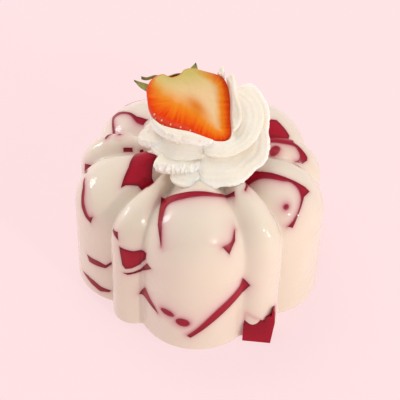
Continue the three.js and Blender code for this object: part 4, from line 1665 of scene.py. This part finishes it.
    def hollow(self) -> bpy.types.Object:
        """Make the room for the fruit in the cream, with all that lies in front of its face."""
        room = piece(self.dome(ROOM_COLUMNS, ROOM_RINGS, 1), "room", scale=1.0)
        shape = np.array([v.co for v in room.data.vertices])
        places = self.swell(shape, margin=self.clearance, strip=False)
        place_all(room, carry(places, self.frame()))
        edge = self.rim(np.linspace(0, 2 * math.pi, ROOM_COLUMNS, endpoint=False)) * ROOM_SWELL
        combine(room, prism(edge, -self.lip, self.depth - self.lip, self.frame()), Join.ADD)
        return room

    def pip_places(self) -> np.ndarray:
        """Spread pips evenly over the skin, in the face's frame."""
        first, run = self.pip_range
        aside, down = self.fullness
        spots = []
        for i in range(self.pips):
            turn = math.asin(1 - (i + 0.5) / self.pips * run - first)
            spots.append((GOLDEN_TURN * i, math.cos(turn) ** aside, -(math.sin(turn) ** down)))
        for i, degrees in enumerate(range(*self.strip_pips)):
            spots.append((math.radians(degrees), self.strip_rows[i % 2], 0.0))
        around, share, height = np.array(spots).T
        return self.swell(np.column_stack((share * np.cos(around), share * np.sin(around), height)))

    def build(self) -> list[bpy.types.Object]:
        """Build the fruit and its pips, dressed.

        Returns:
            The pieces.
        """
        ball = self.dome(self.columns, self.rings, self.face_rings)
        fruit = piece(ball, "strawberry_fruit", scale=1.0)
        shape = np.array([v.co for v in fruit.data.vertices])
        share = np.hypot(shape[:, 0], shape[:, 1])
        cut = (shape[:, 2] > -TINY) & (share < 1 - self.skin_rings / self.face_rings + TINY)
        places = self.swell(shape)
        pips = self.pip_places()
        place_all(fruit, places)
        normals = np.array([v.normal for v in fruit.data.vertices])
        smooth = places.copy()
        inward = self.shade_fruit(fruit, places, cut)
        depth, reach = self.pit
        pits = -depth * bell(nearest(pips, places)[0], reach)
        grain = rough(places, FACE_GRAIN) * np.clip(inward / self.smooth_rim, 0, 1)
        places += normals * np.where(cut, grain, pits)[:, None]
        place_all(fruit, carry(places, self.frame()))
        BerryFlesh().wear(fruit)
        BerrySkin().wear(fruit)
        for face in fruit.data.polygons:
            face.material_index = 0 if all(cut[v] for v in face.vertices) else 1
        fruit.data.set_sharp_from_angle(angle=math.radians(self.crease))
        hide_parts("strawberry_half")
        return [fruit, self.build_pips(pips, normals[nearest(smooth, pips)[1]])]

    def shade_fruit(self, fruit: bpy.types.Object, places: np.ndarray, cut: np.ndarray) -> np.ndarray:
        """Store what the flesh and the skin show at each point.

        Args:
            fruit: The half fruit.
            places: Its vertices in the face's frame.
            cut: Which of them lie on the cut face.

        Returns:
            How far each vertex lies inside the cut face's edge.
        """
        flat = places[:, :2]
        edge = resample(closed_curve(self.outline, TINT_STEPS), TINT_SPACING)
        inward, row = nearest(edge @ np.eye(2, 3), flat @ np.eye(2, 3))
        degrees = np.degrees(np.arctan2(edge[:, 1], edge[:, 0])) % 360
        strip = np.interp(degrees, *np.array(self.strip).T)
        band = np.interp(degrees, *np.array(self.band).T)
        ripe = np.zeros(len(flat))
        for point, skin, width in zip(edge, strip, band):
            ripe = np.maximum(ripe, 1 - (np.hypot(*(flat - point).T) - skin) / width)
        inward = np.maximum(inward - strip[row], 0)
        paint(fruit, "ripe", np.clip(ripe, 0, 1) ** self.ripe_power)
        paint(fruit, "along", TINT_SPACING * row)
        paint(fruit, "inward", inward)
        x, y = self.core_axis
        down, aside = (flat @ np.array([(x, y), (-y, x)]).T - self.amber_middle).T
        long, wide = self.amber_reach
        paint(fruit, "amber", self.amber_share * bell(down, long) * bell(aside, wide))
        across, up = (flat - self.shoulder_middle).T
        wide, high = self.shoulder_reach
        top = bell(across, wide, 4) * bell(up, high)
        height, reach = self.skin_shoulder
        skin = bell(flat[:, 1] - height, reach)
        paint(fruit, "stem", self.shoulder_share * np.where(cut, top, skin))
        return inward

    def build_pips(self, pips: np.ndarray, normals: np.ndarray) -> bpy.types.Object:
        """Make the pips that lie in the skin.

        Args:
            pips: Their places in the face's frame.
            normals: The skin's way out at each.

        Returns:
            All pips as one dressed piece.
        """
        bm = bmesh.new()
        for point, normal in zip(pips, normals):
            out = Vector(normal).normalized()
            turn = out.to_track_quat("Z", "Y").to_matrix().to_4x4()
            shape = Matrix.Diagonal((*self.pip_size, 1))
            place = Matrix.Translation(Vector(point) - self.pip_sunk * out)
            bmesh.ops.create_icosphere(bm, subdivisions=1, radius=1.0, matrix=place @ turn @ shape)
        bmesh.ops.transform(bm, matrix=self.frame(), verts=bm.verts)
        made = piece(bm, "strawberry_pips")
        BerrySeed().wear(made)
        return made


@dataclass(frozen=True)
class Leaf:
    """A leaf of the calyx, placed right and up on the cut face and some way behind it.

    tilt turns it about its own length, in degrees, from lying flat along the face.
    """

    node: str
    start: Pair
    end: Pair
    behind: float
    width: float
    tilt: float
    thickness: float = 0.7
    edge: float = 0.45  # share of the thickness that is left at its two sides
    tip: float = 0.04  # share of the width that is left at its end
    blunt: float = 0.3  # share of the arch of its outline that is missing at its start
    sway: float = 0.4  # how far it waves from its start to its end
    cup: float = 0.5  # how far its sides curl up
    crease: Pair = (0.15, 0.08)  # depth of the groove along its vein, and its reach as a share
    vein: Pair = (0.8, 0.07)  # share and reach of the pale colour along its vein
    brown: Pair = (0.9, 0.75)  # share of brown at its tip, and where along the leaf it begins
    columns: int = 28
    rows: int = 16

    def place(self, shares: np.ndarray, frame: Matrix) -> np.ndarray:
        """Bend shares along, across and through the leaf to its shape.

        Args:
            shares: Three shares for each point, which stand as s, t and w below.
            frame: The cut face's frame.

        Returns:
            The points in millimetres.
        """
        s, t, w = shares.T
        start = Vector((*self.start, -self.behind))
        run = Vector((*self.end, -self.behind)) - start
        axis = run.normalized()
        side = Matrix.Rotation(math.radians(self.tilt), 3, axis) @ Vector((-axis.y, axis.x, 0))
        normal = axis.cross(side)
        arch = np.sin(math.pi * (self.blunt + (1 - self.blunt) * s))
        half = self.width / 2 * np.maximum(self.tip, arch)
        aside = 2 * t - 1
        depth, reach = self.crease
        wave = self.sway * np.sin(2 * math.pi * s) + self.cup * aside**2 - depth * bell(t - 0.5, reach)
        thick = self.thickness * (self.edge + (1 - self.edge) * (1 - aside**2))
        made = np.array(start) + np.outer(s, np.array(run))
        made += np.outer(half * aside, np.array(side))
        made += np.outer(wave + thick * (w - 0.5) + self.thickness / 2, np.array(normal))
        return carry(made, frame)

    def build(self, frame: Matrix) -> bpy.types.Object:
        """Build the leaf, dressed.

        Args:
            frame: The cut face's frame.

        Returns:
            The leaf.
        """
        bm = slab(self.columns, self.rows)
        along, across = np.array([v.co for v in bm.verts]).T[:2]
        reshape(bm, lambda shares: self.place(shares, frame))
        made = piece(bm, "calyx_" + self.node)
        share, reach = self.vein
        paint(made, "vein", share * bell(across - 0.5, reach))
        share, start = self.brown
        paint(made, "tip", share * np.clip((along - start) / (1 - start), 0, 1))
        BerryLeaf().wear(made)
        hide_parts(self.node)
        return made


LEAVES = (
    Leaf("leaf_left", (-12.6, 6.4), (-18.6, 11.6), 2.2, 2.8, 10),
    Leaf("leaf_far_left", (-8.5, 11.4), (-15.4, 12.4), 4.4, 1.4, 84),
    Leaf("leaf_middle", (-9.5, 10.8), (1, 12.2), 3.2, 4.4, 60),
    Leaf("leaf_top", (3.4, 11), (5.2, 15), 2.2, 2.8, -15),
)


# ---- Studio ------------------------------------------------------------------------------------


@dataclass(frozen=True)
class Softbox:
    """A soft square light, placed by where it stands as seen from the jelly.

    Its angles are in degrees, its distance and its size in metres and its power in watts.
    """

    name: str
    azimuth: float
    elevation: float
    distance: float
    size: float
    power: float
    colour: str
    glossy: bool = True  # whether wet skins mirror it

    def build(self, target: Vector) -> None:
        """Hang the light, looking at the target."""
        lamp = bpy.data.lights.new(self.name, "AREA")
        lamp.shape = "SQUARE"
        lamp.size = self.size
        lamp.energy = self.power
        lamp.color = linear(self.colour)[:3]
        light = bpy.data.objects.new(self.name, lamp)
        out = outwards(self.azimuth, self.elevation)[2]
        light.location = target + out * self.distance
        light.rotation_euler = out.to_track_quat("Z", "Y").to_euler()
        light.visible_glossy = self.glossy
        bpy.context.scene.collection.objects.link(light)


@dataclass
class Studio:
    """The floor, the lights and the camera, with its own lengths in millimetres."""

    target: Triple = (1.0, 0.0, 30.0)
    elevation: float = 43.7
    distance: float = 507.0
    roll: float = -1.7
    lens: float = 116.9
    sensor: float = 36.0
    ambient: str = "FAFAFA"
    ambient_strength: float = 0.6
    floor_half: float = 3000.0
    clip_start: float = 10.0
    lights: tuple[Softbox, ...] = (
        Softbox("window_left", 160, 16, 0.6, 0.15, 0.6, "F8FBFF"),
        Softbox("window_right", -50, 25, 0.6, 0.04, 0.8, "FFFCF6"),
        Softbox("window_far", -30, 10, 0.6, 0.05, 0.6, "FFFCF6"),
        Softbox("fill_right", -8, 12, 0.6, 0.4, 0.3, "FFFCF6", glossy=False),
        Softbox("fill_front", -120, 0, 0.6, 0.5, 0.3, "FCFBFA", glossy=False),
        Softbox("overhead", 120, 60, 0.7, 0.4, 2.1, "FBFAFA", glossy=False),
    )

    def build(self) -> None:
        """Set the stage."""
        bm = bmesh.new()
        bmesh.ops.create_grid(bm, x_segments=4, y_segments=4, size=self.floor_half)
        floor = piece(bm, "floor")
        PaleFloor().wear(floor)
        for light in self.lights:
            light.build(Vector(self.target) * MM)
        world = bpy.data.worlds.new("studio")
        world.use_nodes = True
        world.node_tree.nodes.clear()
        sky = {"Color": self.ambient, "Strength": self.ambient_strength}
        add(world.node_tree, "OutputWorld", {"Surface": add(world.node_tree, "Background", sky)})
        bpy.context.scene.world = world
        bpy.context.scene.view_settings.view_transform = "Standard"
        self.camera()

    def camera(self) -> None:
        """Place the camera."""
        e, r = math.radians(self.elevation), math.radians(self.roll)
        ahead = Vector((0, math.cos(e), -math.sin(e)))
        up = Vector((0, math.sin(e), math.cos(e)))
        across = Vector((1, 0, 0))
        right = across * math.cos(r) - up * math.sin(r)
        top = across * math.sin(r) + up * math.cos(r)
        data = bpy.data.cameras.new("camera")
        data.lens = self.lens
        data.sensor_width = self.sensor
        data.clip_start = self.clip_start * MM
        camera = bpy.data.objects.new("camera", data)
        turn = Matrix((right, top, -ahead)).transposed().to_4x4()
        turn.translation = (Vector(self.target) - ahead * self.distance) * MM
        camera.matrix_world = turn
        bpy.context.scene.collection.objects.link(camera)
        bpy.context.scene.camera = camera


def main() -> None:
    """Build the whole dessert and its studio."""
    logging.basicConfig(level=logging.INFO, format="%(message)s")
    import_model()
    Studio().build()
    jelly = SetJelly()
    pieces = jelly.build()
    fruit = Strawberry()
    pieces += fruit.build()
    pieces += [leaf.build(fruit.frame()) for leaf in LEAVES]
    pieces.append(Rosette().build(pieces[0], fruit.hollow()))
    for made in pieces:
        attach(made, "root")
        log.info("%s: %d faces", made.name, len(made.data.polygons))


if __name__ == "__main__":
    main()
